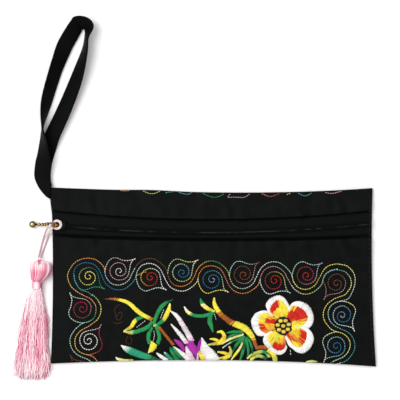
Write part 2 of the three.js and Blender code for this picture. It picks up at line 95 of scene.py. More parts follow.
# Zip coil, slider and puller; the slider's own sizes are counted from its middle on the tape
COIL = Sizes(start=-94.6, end=98.2, pitch=1.15, half=1.05, rise=0.42, wire=0.3, off=0.62, bend=0.78)
# Painted glints on the coil: their offset and spread across the zip line in half widths of the coil, and the
# x over which they fade in
COIL_PAINTED_GLINT = Sizes(off=-0.25, spread=0.22, start=-88.0, full=-78.0)
SLIDER = Sizes(x=-94.5, long=6.6, wide=5.4, plate=0.8, nose=0.62, tail=0.9, corner=0.55)
SLIDER_ROOM = Sizes(above=1.0, below=0.8)
SLIDER_NECK = Sizes(x=-2.0, radius=0.8, sink=0.3)
SLIDER_WALL = Sizes(start=-0.4, end=2.9, y=2.17, half=0.42, lift=0.05, sink=0.1)
PLATE_SECTION = [(0.0, 0.9), (0.1, 0.97), (0.3, 1.0), (0.6, 1.0), (0.9, 0.965), (1.0, 0.87)]
CROWN = Sizes(x=-2.2, long=2.2, wide=0.9, high=2.6, bar=0.55, corner=0.5, sink=0.1, past=0.02, wear=0.55)
LINK = Sizes(x=-98.6, y=32.0, z=8.5, half_long=1.1, half_wide=1.15, wire=0.65, lean=0.55, wear=0.6)
CHAIN = Sizes(y=32.3, bead=1.05, rod=0.45, pitch=2.2)
CHAIN_ROUTE = [
    (-99.8, 33.1, 8.6), (-101.4, 33.2, 7.7), (-103.2, 32.5, 5.7), (-105.2, 32.3, 4.0), (-107.4, 32.3, 2.9)]
BALL = Sizes(x=-112.4, radius=2.1, neck=0.8, collar=0.7, turn=(176.0, 18.0))

# Strap: x, y, heading, roll, lift, wide for each bend, from the upper end round to the lower end
STRAP_THICK = 1.4
STRAP_CLOTH = Sizes(tone=0.5, weave=0.8)
STRAP_SECTION = Sizes(wide=0.55, deep=0.35)
STRAP_GROOVE = Sizes(depth=0.22, place=0.74, spread=0.07)
STRAP_ROWS = np.array([
    (-101.35, 52.2, 180, 180, 2.1, 8.1), (-102.9, 53.9, 138, 180, 2.1, 7.5),
    (-105.0, 57.6, 110, 180, 2.1, 8.6), (-106.3, 62.5, 93, 178, 2.1, 10),
    (-105.9, 69.7, 88, 165, 2.0, 10), (-105.5, 76.3, 89, 137, 1.8, 10),
    (-105.5, 85.0, 90, 115, 1.0, 10), (-105.9, 93.8, 90, 90, 0.3, 10),
    (-103.5, 108.8, 77, 54, 0.3, 10), (-98.7, 125.9, 71, 43, 0.3, 10),
    (-95.6, 135.0, 68, 34, 0.3, 10), (-92.3, 143.8, 65, 16, 0.3, 10),
    (-88.4, 150.8, 60, 20, 0.3, 10), (-85.0, 156.2, 52, 30, 0.3, 10),
    (-83.6, 157.9, 26, 30, 0.3, 10), (-78.8, 156.9, -38, 42, 0.3, 10),
    (-77.1, 154.0, -82, 55, 0.3, 10), (-78.6, 148.2, -98, 75, 0.3, 10), (-80.0, 139.4, -101, 65, 0.3, 10),
    (-85.1, 122.5, -111, 38, 0.3, 10), (-92.3, 104.4, -113, 24, 0.3, 10),
    (-99.8, 88.1, -110, 15, 0.3, 10), (-102.7, 80.0, -108, 2, 0.3, 10),
    (-105.2, 71.3, -102, 0, 0.3, 10), (-106.2, 63.1, -88, 0, 0.3, 10),
    (-105.0, 57.6, -70, 0, 0.3, 8.6), (-102.9, 53.9, -42, 0, 0.3, 7.5),
    (-101.35, 52.2, 0, 0, 0.3, 8.1),
])

# Tassel cord: left strand up from the knot, the turns round the crown, right strand down
CORD_LEFT_STRAND = [
    (-108.7, 11.4, 2.6), (-108.1, 14.6, 1.2), (-107.4, 17.6, 0.55), (-106.5, 21.0, 0.55),
    (-105.5, 24.4, 1.2), (-104.4, 27.3, 3.0), (-103.1, 29.6, 4.9), (-101.7, 31.4, 6.7), (-100.3, 32.4, 7.4),
]
CORD_RIGHT_STRAND = [
    (-100.5, 29.3, 5.6), (-101.6, 27.8, 4.0), (-102.6, 25.6, 1.9), (-103.5, 22.8, 0.7),
    (-104.5, 19.8, 0.55), (-105.6, 16.8, 0.55), (-106.7, 13.8, 1.3), (-107.3, 11.4, 2.6),
]
CORD_COLOUR_CHANGE = (-104.0, -100.5)
CROWN_AXIS = (-96.85, 32.2)
CORD_TURN_ROWS = [  # angle, radius, height
    (160, 2.3, 7.5), (105, 2.1, 7.5), (50, 2.06, 7.35), (-5, 2.06, 7.1), (-60, 2.06, 6.8),
    (-115, 2.1, 6.6), (-165, 2.2, 6.42), (-205, 2.45, 6.4), (-255, 2.7, 6.5), (-310, 2.75, 6.7),
    (-360, 2.75, 6.8), (-415, 2.75, 6.75), (-465, 2.8, 6.6), (-500, 3.0, 6.4),
]

# Tassel: head sections y, x, half, middle, rise; skirt edges y, left, right
KNOT = Sizes(place=(-108.0, 9.2, 5.2), reach=(0.286, 0.442, 0.52), lean=1.6, thread=0.5, shade=0.2)
HEAD_ROWS = np.array([
    (9.5, -107.9, 1.2, 3.0, 0.9), (8.9, -107.6, 4.6, 3.4, 2.4), (7.4, -107.4, 6.1, 3.8, 3.4),
    (4.4, -107.3, 6.3, 4.2, 4.0), (1.2, -107.6, 5.6, 4.1, 3.9), (-1.8, -108.8, 4.2, 3.7, 3.3),
    (-3.4, -109.4, 2.7, 3.2, 2.2), (-8.0, -109.7, 2.4, 3.2, 2.0),
])
HEAD = Sizes(threads=150, rings=18, thick=1.1, slack=0.03, lean=0.1, lowest=0.5)
HEAD_STREAKS = ((0.55, 0.14, 1.0), (-0.75, 0.12, 0.5))  # side, spread, depth
HEAD_SHADE = Sizes(middle=0.9, spread=0.24, streak=0.75, below=(0.5, 0.2))
CORE = Sizes(share=0.92, lowest=0.4, sides=24, shade=0.5)
WANDER = Sizes(rate=(3.0, 9.0), start=(0.05, 0.4))
# Neck binding; dim, top and left set its painted light: base share, painted highlight on top, painted shade
# towards the right
BINDING = Sizes(
    start=-3.8, end=-8.0, x=-109.6, z=3.2, half=2.7, rise=2.3, turns=8, swell=0.25, thread=0.32,
    lowest=0.35, dim=0.05, top=0.95, left=0.25)
SKIRT_ROWS = np.array([
    (-9.0, -114.0, -106.2), (-13.0, -116.2, -105.7), (-20.0, -117.5, -104.8), (-27.5, -118.7, -103.9),
    (-35.0, -120.2, -103.5), (-45.0, -121.5, -103.2), (-55.0, -122.7, -102.4), (-65.0, -123.4, -103.2),
])

# Skirt: where its threads begin, how their ends, locks and heap lie, and what makes their colour, with
# painted shade on the lower threads of the heap
SKIRT = Sizes(
    rings=36, root=-7.4, short=9.0, corner=2.0, lock=1.2, fan=0.08, neck_half=2.5, neck_rise=1.9,
    inset=0.4, sway=0.75, fray=1.1, fray_from=0.75, crimp=0.28, crimp_rate=(0.6, 1.3), crimp_phase=6.3,
    heap=(4.4, 3.0), slope=0.45, bed=0.45, lift=0.25, lowest=0.4, mingle=0.6, thick=(0.8, 1.1),
    taper=(0.9, 1.05))
SKIRT_LOCKS = ((43, 1.0), (71, 2.2))
SKIRT_SHADE = Sizes(
    deepest=0.08, layer=0.6, lock=0.16, spread=0.34, root=0.34, end=0.38, drift=0.12,
    root_fade=(0.08, 0.4))

# Stitch chart: millimetres to a pixel, the pixel over the origin, and the eye above the table
CHART_UNIT = 0.625
CHART_ZERO = np.array([212.75, 276.0])
EYE = np.array([-7.97, 47.5])
EYE_HEIGHT = 1200.0

# Points of the meshes along and round each form, and the seeds of the random draws
FINE = Sizes(
    cord=420, cord_span=14, pouch=241, upper=16, lower=64, back=40, fold=7, lip=5, tape=161,
    tape_across=16, coil_turn=14, coil_round=6, plate_round=40, neck=6, neck_round=20, wall=8,
    wall_round=12, crown=40, crown_round=12, link=40, link_round=10, chain=400, bead=22, chain_round=18,
    ball=26, ball_round=32, strap_bend=10, strap_round=28, skirt_round=5, head_round=6, binding_turn=36,
    binding_round=6, knot=120, knot_round=8, swirl=33, wave=6, band=8, petal=60)
SEEDS = Sizes(tassel=7, border=11, spray=23)

# Finishes: roughness, sheen and scale of the fibres of each yarn; bright colour, dark colour and roughness of
# each metal, the dark colour being tarnish and, on chain and ball, also painted shade round the rim
YARNS = {
    "pale_cord": (0.55, 0.03, 2200.0), "pink_thread": (0.45, 0.03, 1800.0),
    "line_thread": (0.5, 0.0, 1500.0), "satin_thread": (0.36, 0.0, 1300.0)}
METALS = {
    "aged_bronze": ((0.62, 0.38, 0.18), (0.14, 0.04, 0.015), 0.3),
    "link_bronze": ((0.42, 0.22, 0.06), (0.16, 0.06, 0.015), 0.35),
    "brass": ((0.58, 0.43, 0.17), (0.05, 0.036, 0.008), 0.2)}
# Facing-up share over which chain and ball run from painted rim shade to a painted highlight
PAINTED_HIGHLIGHT_SPAN = (0.6, 0.98)

# Stage: half the side of the table in millimetres, the colour of the sky, then in metres the key light
# and how far the camera sees
TABLE_REACH = 6000.0
SKY_COLOUR = (1.0, 0.985, 0.985, 1.0)
KEY_LIGHT = Sizes(place=(-0.75, 0.36, 1.3), size=1.1)
SIGHT = 50.0


def colour_property(name, description, default):
    """Colour in linear light."""
    return FloatVectorProperty(
        name=name, description=description, subtype="COLOR", size=3, min=0.0, max=1.0, default=default)


def length_property(name, description, size):
    """Length whose default is given in millimetres."""
    return FloatProperty(name=name, description=description, unit="LENGTH", default=size * MM)


class PouchSettings(bpy.types.PropertyGroup):
    """Cloth of the pouch and the strap."""
    cloth: colour_property("Cloth", "Colour of the black cloth", (0.0034, 0.0042, 0.0038))
    weave: length_property("Weave", "Distance between two threads of the cloth", 0.55)
    tape_rib: length_property("Tape rib", "Distance between two ribs of the zip tape", 0.7)


class ThreadSettings(bpy.types.PropertyGroup):
    """Embroidery threads."""
    line: length_property("Line thread", "Thickness of the thread in the scroll lines", 0.5)
    line_stitch: length_property("Line stitch", "Length of one stitch of the scroll lines", 1.5)
    satin: length_property("Satin thread", "Thickness of the floss in filled forms", 0.5)
    satin_pitch: length_property("Satin pitch", "Distance between neighbouring satin stitches", 0.4)


class TasselSettings(bpy.types.PropertyGroup):
    """Cord and threads of the tassel."""
    cord_radius: length_property("Cord radius", "Half the thickness of the cord", 0.5)
    thread_radius: length_property("Thread radius", "Half the thickness of a thread", 0.27)
    threads: IntProperty(
        name="Skirt threads", description="Threads in the skirt", default=520, min=50, max=900)
    pale: colour_property("Pale", "Colour of the threads in the light", (0.90, 0.45, 0.55))
    deep: colour_property("Deep", "Colour of the threads deep in the tassel", (0.66, 0.10, 0.22))
    strand: colour_property("Cord strands", "Colour of the cord between tassel and zip", (0.62, 0.36, 0.42))
    loop: colour_property("Cord loop", "Colour of the cord round the slider", (0.93, 0.79, 0.76))


class StageSettings(bpy.types.PropertyGroup):
    """Table, light and camera."""
    table: colour_property("Table", "Colour of the table", (0.93, 0.92, 0.92))
    sky: FloatProperty(name="Sky", description="Strength of the light all round", default=0.78)
    key: FloatProperty(
        name="Key", description="Power of the soft light on the left", unit="POWER", default=16.5)
    eye_height: length_property("Eye height", "Height of the camera", EYE_HEIGHT)
    view_width: length_property("View width", "Width of table in the picture", 250.0)


# Arithmetic of curves and tables


def joined(*parts):
    """Coordinates spread to one shape and put together in a new last axis."""
    return np.stack(np.broadcast_arrays(*parts), axis=-1)


def mix(a, b, share):
    """a at share 0, b at share 1."""
    return a + (b - a) * share


def smooth(low, high, value):
    """Smooth step from 0 at low to 1 at high."""
    share = np.clip((value - low) / (high - low), 0, 1)
    return share * share * (3 - 2 * share)


def catmull(rows, place):
    """Rows of a table filled in smoothly (Catmull-Rom) at fractional row numbers."""
    rows = np.asarray(rows, dtype=float)
    place = np.asarray(place, dtype=float)
    first = np.clip(np.floor(place).astype(int), 0, len(rows) - 2)
    t = (place - first)[..., None]
    p0, p1, p2, p3 = (rows[np.clip(first + k, 0, len(rows) - 1)] for k in (-1, 0, 1, 2))
    bend = 2 * p0 - 5 * p1 + 4 * p2 - p3
    twist = 3 * (p1 - p2) + p3 - p0
    return p1 + 0.5 * t * (p2 - p0 + t * (bend + t * twist))


def smooth_line(points, per_span=12):
    """Curve through a few points, with so many steps from one to the next."""
    spans = len(points) - 1
    return catmull(points, np.linspace(0, spans, spans * per_span + 1))


def arc_lengths(line):
    """Distance along a line from its start to each of its points."""
    steps = np.linalg.norm(np.diff(line, axis=0), axis=1)
    return np.concatenate([[0], np.cumsum(steps)])


def walk(line, distance):
    """Points of a line at given distances along it."""
    along = arc_lengths(line)
    return joined(*(np.interp(distance, along, column) for column in line.T))


def unit(vectors):
    """Vectors brought to length 1."""
    return vectors / np.maximum(np.linalg.norm(vectors, axis=-1, keepdims=True), 1e-9)


def linear(colour):
    """Linear light from display values between 0 and 1."""
    colour = np.asarray(colour, dtype=float)
    return np.where(colour <= 0.04045, colour / 12.92, ((colour + 0.055) / 1.055) ** 2.4)


def around(count, offset=0.0):
    """Angles of so many even places round a circle."""
    return 2 * np.pi * (np.arange(count) + offset) / count


def circle(angle):
    """Points of the unit circle."""
    return joined(np.cos(angle), np.sin(angle))


def squared(wave, power):
    """A sine or cosine raised to a power with its sign kept, which turns a circle into a superellipse."""
    return np.sign(wave) * np.abs(wave) ** power


# Surface of the pouch


def edge_y(edge, x):
    """y of a fold, lip or zip line at x."""
    t = x / HALF_SPAN
    return edge[0] + t * (edge[1] + t * (edge[2] + t * edge[3]))


def top_y(x):
    """Top fold, a little fuller left of the middle."""
    return edge_y(TOP_EDGE, x) + HUMP.rise * np.exp(-((x - HUMP.x) / HUMP.spread) ** 2)


def left_x(y):
    """Left side, bowed from its waist and drawn out to an ear where the strap is sewn in."""
    bow = LEFT_SIDE[2] * (y - LEFT_SIDE[1]) ** 2
    return LEFT_SIDE[0] + bow - EAR.reach * smooth(EAR.low, EAR.high, y)


def right_x(y):
    """Right side, bowed from its waist."""
    return RIGHT_SIDE[0] + RIGHT_SIDE[2] * (y - RIGHT_SIDE[1]) ** 2


def pillow(share):
    """Swelling of a filled bag: 0 at both edges, 1 in the middle."""
    return 1 - np.abs(2 * np.clip(share, 0, 1) - 1) ** PILLOW_POWER


def side_squeeze(x, y):
    """1 over the pouch, falling to 0 at both sides along a quarter circle."""
    inside = np.minimum(x - left_x(y), right_x(y) - x)
    share = np.clip(inside / SIDE_ROUND, 0.02, 1)
    return np.sqrt(1 - (1 - share) ** 2)


def front_height(x, y):
    """Edge thickness, a pillow over both spans and a ridge along the zip."""
    across = (x - left_x(y)) / (right_x(y) - left_x(y))
    bottom = edge_y(BOTTOM_EDGE, x)
    up = (y - bottom) / (top_y(x) - bottom)
    off_zip = (y - edge_y(ZIP_LINE, x)) / ZIP_BULK_SPREAD
    return EDGE_THICK + FILLING * pillow(across) * pillow(up) + ZIP_BULK * np.exp(-off_zip ** 2)


def puckers(x, y):
    """Sum of sines along x that fades with the distance from the lips, and a slow ripple."""
    off_lip = np.maximum(np.maximum(y - edge_y(UPPER_LIP, x), edge_y(LOWER_LIP, x) - y), 0)
    drift = PUCKER_DRIFT.slant * y + PUCKER_DRIFT.swing * np.sin(PUCKER_DRIFT.rate * x)
    waves = sum(share * np.sin(rate * x + phase + drift) for rate, phase, share in PUCKER_WAVES)
    swell = np.sin(PUCKER_SWELL.y_rate * y + PUCKER_SWELL.x_rate * x)
    waves = waves * (PUCKER_SWELL.middle + PUCKER_SWELL.swing * swell)
    ripple = np.sin(RIPPLE.x_rate * x + RIPPLE.x_phase)
    ripple = ripple * np.sin(RIPPLE.y_rate * y + RIPPLE.y_phase)
    return PUCKER_DEPTH * waves * np.exp(-off_lip / PUCKER_REACH) + RIPPLE.depth * ripple


def fold_round(past):
    """Quarter circle from 1 where a fold begins to 0 at its end."""
    return np.sqrt(np.clip(1 - np.clip(past / FOLD, 0, 1) ** 2, 0, 1))


def drawn_in(height, x, y):
    """Height drawn in to the middle of the edge at both sides."""
    return FOLD + (height - FOLD) * side_squeeze(x, y)


def cloth_height(x, y):
    """Front cloth: filling and puckers, rounded off at the top and bottom folds and at the sides."""
    past = np.maximum(y - top_y(x) + FOLD, edge_y(BOTTOM_EDGE, x) + FOLD - y)
    height = front_height(x, y) + puckers(x, y) * np.clip(1 - past / FOLD, 0, 1)
    return drawn_in(FOLD + (height - FOLD) * fold_round(past), x, y)


def tape_height(x, y):
    """Upper face of the zip tape, a gap below the cloth of the front."""
    return front_height(x, y) - WALL - GAP


# Meshes from arrays


def grid_faces(rows, columns, ring_rows=False, ring_columns=False):
    """Quads between neighbouring rows and columns of a grid of points, closed into rings on request."""
    r, c = np.meshgrid(
        np.arange(rows if ring_rows else rows - 1), np.arange(columns if ring_columns else columns - 1),
        indexing="ij")
    r2, c2 = (r + 1) % rows, (c + 1) % columns
    corners = joined(r * columns + c, r * columns + c2, r2 * columns + c2, r2 * columns + c)
    return corners.reshape(-1, 4)


def grey(values):
    """The same value for red, green and blue."""
    return np.repeat(values[:, None], 3, axis=1)


def repeat_faces(faces, copies, points_each):
    """The same faces for many like forms that follow each other in the point list."""
    shift = np.arange(copies)[:, None, None] * points_each
    return (faces[None] + shift).reshape(-1, faces.shape[1])


def tube_faces(copies, rings, sides):
    """Sides and both end caps of many equal tubes."""
    wall = grid_faces(rings, sides, ring_columns=True)
    first = np.arange(sides)[None, ::-1]
    last = (rings - 1) * sides + np.arange(sides)[None]
    each = rings * sides
    return [repeat_faces(part, copies, each) for part in (wall, first, last)]


def side_and_rise(paths):
    """Unit vectors across a path: side lies flat, rise stands across path and side."""
    ahead = unit(np.gradient(paths, axis=-2))
    side = unit(np.cross(UP, ahead))
    return side, np.cross(ahead, side)


def tube_points(paths, side_radius, rise_radius, sides):
    """Oval rings across many paths (copies, rings, 3)."""
    side, rise = side_and_rise(paths)
    angle = around(sides, 0.5)[:, None]
    wide = np.broadcast_to(side_radius, paths.shape[:2])[..., None, None]
    high = np.broadcast_to(rise_radius, paths.shape[:2])[..., None, None]
    ring = wide * np.cos(angle) * side[:, :, None] + high * np.sin(angle) * rise[:, :, None]
    return (paths[:, :, None] + ring).reshape(-1, 3)


def make_piece(name, points, face_groups, material, colours=None):
    """Mesh object at the origin from points in millimetres, riding on the only body."""
    mesh = bpy.data.meshes.new(name)
    loops = np.concatenate([faces.ravel() for faces in face_groups]).astype(np.int32)
    totals = np.concatenate([np.full(len(faces), faces.shape[1]) for faces in face_groups])
    starts = np.concatenate([[0], np.cumsum(totals)[:-1]]).astype(np.int32)
    mesh.vertices.add(len(points))
    mesh.vertices.foreach_set("co", (np.asarray(points) * MM).astype(np.float32).ravel())
    mesh.loops.add(len(loops))
    mesh.loops.foreach_set("vertex_index", loops)
    mesh.polygons.add(len(totals))
    mesh.polygons.foreach_set("loop_start", starts)
    mesh.polygons.foreach_set("use_smooth", np.full(len(totals), True))
    mesh.update(calc_edges=True)
    if colours is not None:
        layer = mesh.color_attributes.new("thread", "FLOAT_COLOR", "POINT")
        rgba = np.concatenate([colours, np.ones((len(colours), 1))], axis=1)
        layer.data.foreach_set("color", rgba.astype(np.float32).ravel())
    if mesh.validate():
        raise RuntimeError(f"{name}: the mesh had faulty faces")
    mesh.materials.append(material)
    piece = bpy.data.objects.new(name, mesh)
    bpy.context.scene.collection.objects.link(piece)
    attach(piece, BODY)
    return piece


# Shader expressions


class Wire:
    """A value socket of a shader tree: arithmetic on it adds Math nodes."""

    def __init__(self, finish, socket):
        self.finish = finish
        self.socket = socket

    def math(self, operation, first, second=None):
        """A Math node on one or two values."""
        sockets = {0: first} if second is None else {0: first, 1: second}
        return self.finish.node("Math", {"operation": operation}, sockets)

    def __add__(self, other):
        return self.math("ADD", self, other)

    def __sub__(self, other):
        return self.math("SUBTRACT", self, other)

    def __rsub__(self, other):
        return self.math("SUBTRACT", other, self)

    def __mul__(self, other):
        return self.math("MULTIPLY", self, other)

    __radd__ = __add__
    __rmul__ = __mul__

    def sin(self):
        """Sine of the value."""
        return self.math("SINE", self)

    def absolute(self):
        """The value without its sign."""
        return self.math("ABSOLUTE", self)


class Finish:
    """A material with one Principled shader; node() adds any other node."""

    def __init__(self, name):
        self.material = bpy.data.materials.new(name)
        self.material.use_nodes = True
        self.tree = self.material.node_tree
        self.shader = self.tree.nodes["Principled BSDF"]
        self.point = self.node("TexCoord", output=3)

    def node(self, kind, settings=None, sockets=None, output=0):
        """Adds a shader node: settings are set first, ramp stops among them, then its sockets."""
        node = self.tree.nodes.new("ShaderNode" + kind)
        for name, value in (settings or {}).items():
            if name == "stops":
                for stop in value[2:]:
                    node.color_ramp.elements.new(stop[0])
                for element, (place, colour) in zip(node.color_ramp.elements, value):
                    element.position = place
                    element.color = (*colour, 1.0)
            else:
                setattr(node, name, value)
        for name, value in (sockets or {}).items():
            self.feed(node.inputs[name], value)
        return Wire(self, node.outputs[output])

    def feed(self, socket, value):
        """Links a wire to a socket or sets its value."""
        if isinstance(value, Wire):
            self.tree.links.new(value.socket, socket)
        elif socket.type == "RGBA" and len(value) == 3:
            socket.default_value = (*value, 1.0)
        else:
            socket.default_value = value

    def blend(self, share, first, second):
        """Colour mixed from two."""
        return self.node("Mix", {"data_type": "RGBA"}, {0: share, 6: first, 7: second}, output=2)

    def tones(self, share, colour, low, high):
        """One colour between two of its strengths."""
        return self.blend(share, *(tuple(np.array(colour) * strength) for strength in (low, high)))

    def axes(self):
        """Object coordinates x, y and z."""
        outputs = self.node("SeparateXYZ", sockets={0: self.point}).socket.node.outputs
        return [Wire(self, outputs[k]) for k in range(3)]

    def held(self, output=0):
        """Colour that the mesh holds at each point, or its shade from output 2."""
        return self.node("Attribute", {"attribute_name": "thread"}, output=output)

    def noise(self, scale, detail=3.0):
        """Cloudy noise over the object coordinates."""
        return self.node("TexNoise", sockets={"Vector": self.point, "Scale": scale, "Detail": detail})

    def bump(self, height, distance, strength=1.0):
        """Normal of a surface embossed by a height."""
        return self.node("Bump", sockets={"Strength": strength, "Distance": distance, "Height": height})

    def shade(self, **sockets):
        """Sets or links sockets of the shader, named with underscores for spaces."""
        for name, value in sockets.items():
            self.feed(self.shader.inputs[name.replace("_", " ")], value)
        return self.material


def cloth_finish(name, colour, weave):
    """Black plain weave: threads over and under as a product of sines, faint wear, soft nap."""
    finish = Finish(name)
    x, y, z = finish.axes()
    rate = np.pi / weave
    over = (x * rate).sin() * ((y + z) * rate).sin()
    wear = finish.noise(140.0, 4.0)
    nap = finish.noise(900.0, 2.0)
    return finish.shade(
        Base_Color=finish.tones(wear * 1.2 + nap * 0.3 - 0.25, colour, 0.3, 1.7), Roughness=wear * 0.12 + 0.5,
        Normal=finish.bump(over * 0.6 + nap * 0.5, 0.12 * MM, 0.7), Specular_IOR_Level=0.045)


def tape_finish(name, colour, rib):
    """Woven zip tape: ribs along the zip crossed by fine picks."""
    finish = Finish(name)
    x, y, _ = finish.axes()
    ribs = (y * (np.pi / rib)).sin().absolute()
    picks = (x * (np.pi / (0.6 * rib))).sin().absolute()
    wear = finish.noise(120.0)
    return finish.shade(
        Base_Color=finish.tones(wear, colour, 0.8, 1.3), Roughness=wear * 0.1 + 0.6,
        Normal=finish.bump(ribs * 0.7 + picks * 0.3, 0.12 * MM), Specular_IOR_Level=0.045)


def thread_finish(name):
    """Floss or thread in the colour held by each stitch, with fine fibres and a soft lustre."""
    roughness, sheen, fibre = YARNS[name]
    finish = Finish(name)
    fibres = finish.noise(fibre, 2.0)
    return finish.shade(
        Base_Color=finish.blend(fibres * 0.18, finish.held(), (0.02, 0.01, 0.01)),
        Roughness=fibres * 0.2 + roughness, Normal=finish.bump(fibres, 0.06 * MM),
        Sheen_Weight=sheen, Sheen_Roughness=0.4, Specular_IOR_Level=0.2)


def metal_finish(name):
    """Metal mixed from dark to bright by patches of tarnish and by the held value: a fixed tone on crown and
    link, and on chain and ball a painted highlight where they face up and painted shade round the rim.
    """
    bright, dark, roughness = METALS[name]
    finish = Finish(name)
    patches = finish.noise(700.0, 4.0)
    # The held value carries painted light on chain and ball: bright facing up, dark round the rim
    worn_and_painted_light = finish.held(2) * (patches * 0.6 + 0.6)
    return finish.shade(
        Base_Color=finish.blend(worn_and_painted_light, dark, bright), Metallic=1.0, Roughness=patches * 0.15 + roughness,
        Normal=finish.bump(patches, 0.02 * MM))


def enamel_finish(name):
    """Black lacquer, thin and a little worn."""
    finish = Finish(name)
    worn_and_painted_light = finish.noise(500.0, 4.0)
    return finish.shade(
        Base_Color=finish.blend(worn_and_painted_light, (0.002, 0.002, 0.002), (0.005, 0.005, 0.005)),
        Roughness=worn_and_painted_light * 0.2 + 0.4, Normal=finish.bump(worn_and_painted_light, 0.03 * MM), Specular_IOR_Level=0.05)


def nylon_finish(name):
    """Black nylon coil, dull but for painted glints: lighter patches along a thin line where the held value
    is high.
    """
    finish = Finish(name)
    dull = finish.noise(400.0, 2.0)
    patches = finish.noise(140.0, 2.0)
    # Painted glints: noise patches that lift the colour along the held line
    painted_glint_patches = finish.node("ValToRGB", {"stops": [(0.46, (0, 0, 0)), (0.6, (1, 1, 1))]}, {0: patches})
    black = finish.blend(dull, (0.002, 0.0025, 0.0022), (0.005, 0.006, 0.0054))
    return finish.shade(
        Base_Color=finish.blend(painted_glint_patches * finish.held(2), black, (0.044, 0.048, 0.045)),
        Roughness=dull * 0.2 + 0.4, Normal=finish.bump(dull, 0.02 * MM), Specular_IOR_Level=0.06)


# Stage


class WRISTLET_OT_stage(bpy.types.Operator):
    """Lays the white table, the soft light and the camera straight above"""
    bl_idname = "wristlet.stage"
    bl_label = "Stage"

    def execute(self, context):
        stage = context.scene.wristlet_stage
        self.lay_table(stage)
        self.hang_lights(context, stage)
        self.set_camera(context, stage)
        return {"FINISHED"}

    def lay_table(self, stage):
        """Square grid of a large flat table."""
        span = np.linspace(-TABLE_REACH, TABLE_REACH, 3)
        x, y = np.meshgrid(span, span, indexing="ij")
        points = joined(x, y, 0.0).reshape(-1, 3) * MM
        mesh = bpy.data.meshes.new("table")
        mesh.from_pydata(points.tolist(), [], grid_faces(3, 3)[:, ::-1].tolist())
        finish = Finish("table_top")
        mesh.materials.append(finish.shade(
            Base_Color=finish.tones(finish.noise(30.0), stage.table, 0.99, 1.0), Roughness=0.7,
            Specular_IOR_Level=0.2))
        table = bpy.data.objects.new("table", mesh)
        bpy.context.scene.collection.objects.link(table)

    def hang_lights(self, context, stage):
        """White sky all round and a large soft lamp up on the left."""
        world = bpy.data.worlds.new("studio")
        world.use_nodes = True
        background = world.node_tree.nodes["Background"]
        background.inputs["Color"].default_value = SKY_COLOUR
        background.inputs["Strength"].default_value = stage.sky
        context.scene.world = world
        light = bpy.data.lights.new("key", "AREA")
        light.shape = "DISK"
        light.size = KEY_LIGHT.size
        light.energy = stage.key
        key = bpy.data.objects.new("key", light)
        key.location = KEY_LIGHT.place
        key.rotation_euler = key.location.to_track_quat("Z", "Y").to_euler()
        context.scene.collection.objects.link(key)
        context.scene.view_settings.view_transform = "Standard"

    def set_camera(self, context, stage):
        """Camera that looks straight down and takes in the set width of table."""
        data = bpy.data.cameras.new("eye")
        data.lens = data.sensor_width * stage.eye_height / stage.view_width
        data.clip_end = SIGHT
        eye = bpy.data.objects.new("eye", data)
        eye.location = (EYE[0] * MM, EYE[1] * MM, stage.eye_height)
        context.scene.collection.objects.link(eye)
        context.scene.camera = eye


# Cord of the tassel


def cord_route():
    """Left strand, turns about the crown's axis, right strand, filled in smoothly."""
    angle, radius, height = np.array(CORD_TURN_ROWS, dtype=float).T
    turns = np.column_stack([CROWN_AXIS + radius[:, None] * circle(np.radians(angle)), height])
    rough = smooth_line(np.concatenate([CORD_LEFT_STRAND, turns, CORD_RIGHT_STRAND]), FINE.cord_span)
    return walk(rough, np.linspace(0, arc_lengths(rough)[-1], FINE.cord))


class WRISTLET_OT_cord(bpy.types.Operator):
    """Lays the twisted cord of the tassel round the slider's crown"""
    bl_idname = "wristlet.cord"
    bl_label = "Tassel cord"
    sides = 16
    lay = 2.4
    lobe = 0.14
    # Painted light on the lobes of the twist and painted shade in the valleys between them
    painted_ridge_light = 1.12
    painted_valley_shade = 0.55

    def execute(self, context):
        settings = context.scene.wristlet_tassel
        radius = settings.cord_radius / MM
        route = cord_route()
        points, colours = self.twisted(route, radius, settings)
        faces = tube_faces(1, len(route), self.sides)
        material = thread_finish("pale_cord")
        cord = make_piece("tassel_cord_twist", points, faces, material, colours)
        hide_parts("tassel_cord")
        return {"FINISHED"}

    def twisted(self, route, radius, settings):
        """Tube whose section has three lobes that turn with the distance: r = R (1 - l + l cos 3(a - ks));
        painted shade in the valleys between them and painted light on the lobes, and paler on the loop than
        on the strands."""
        along = arc_lengths(route)[:, None]
        angle = around(self.sides, 0.5)[None]
        lobes = np.cos(3 * (angle - 2 * np.pi * along / (3 * self.lay)))
        side, rise = side_and_rise(route)
        reach = radius * (1 - self.lobe + self.lobe * lobes)[..., None]
        ring = np.cos(angle)[..., None] * side[:, None] + np.sin(angle)[..., None] * rise[:, None]
        points = (route[:, None] + reach * ring).reshape(-1, 3)
        # Painted shade in the valleys of the twist, painted light on its lobes
        valley = np.clip(0.5 - 0.5 * lobes, 0, 1)[..., None]
        on_loop = smooth(*CORD_COLOUR_CHANGE, route[:, :1])[:, None]
        colour = mix(np.array(settings.strand), np.array(settings.loop), on_loop)
        colours = mix(self.painted_ridge_light * colour, self.painted_valley_shade * colour, valley ** 1.5)
        return points, colours.reshape(-1, 3)


# Cloth body


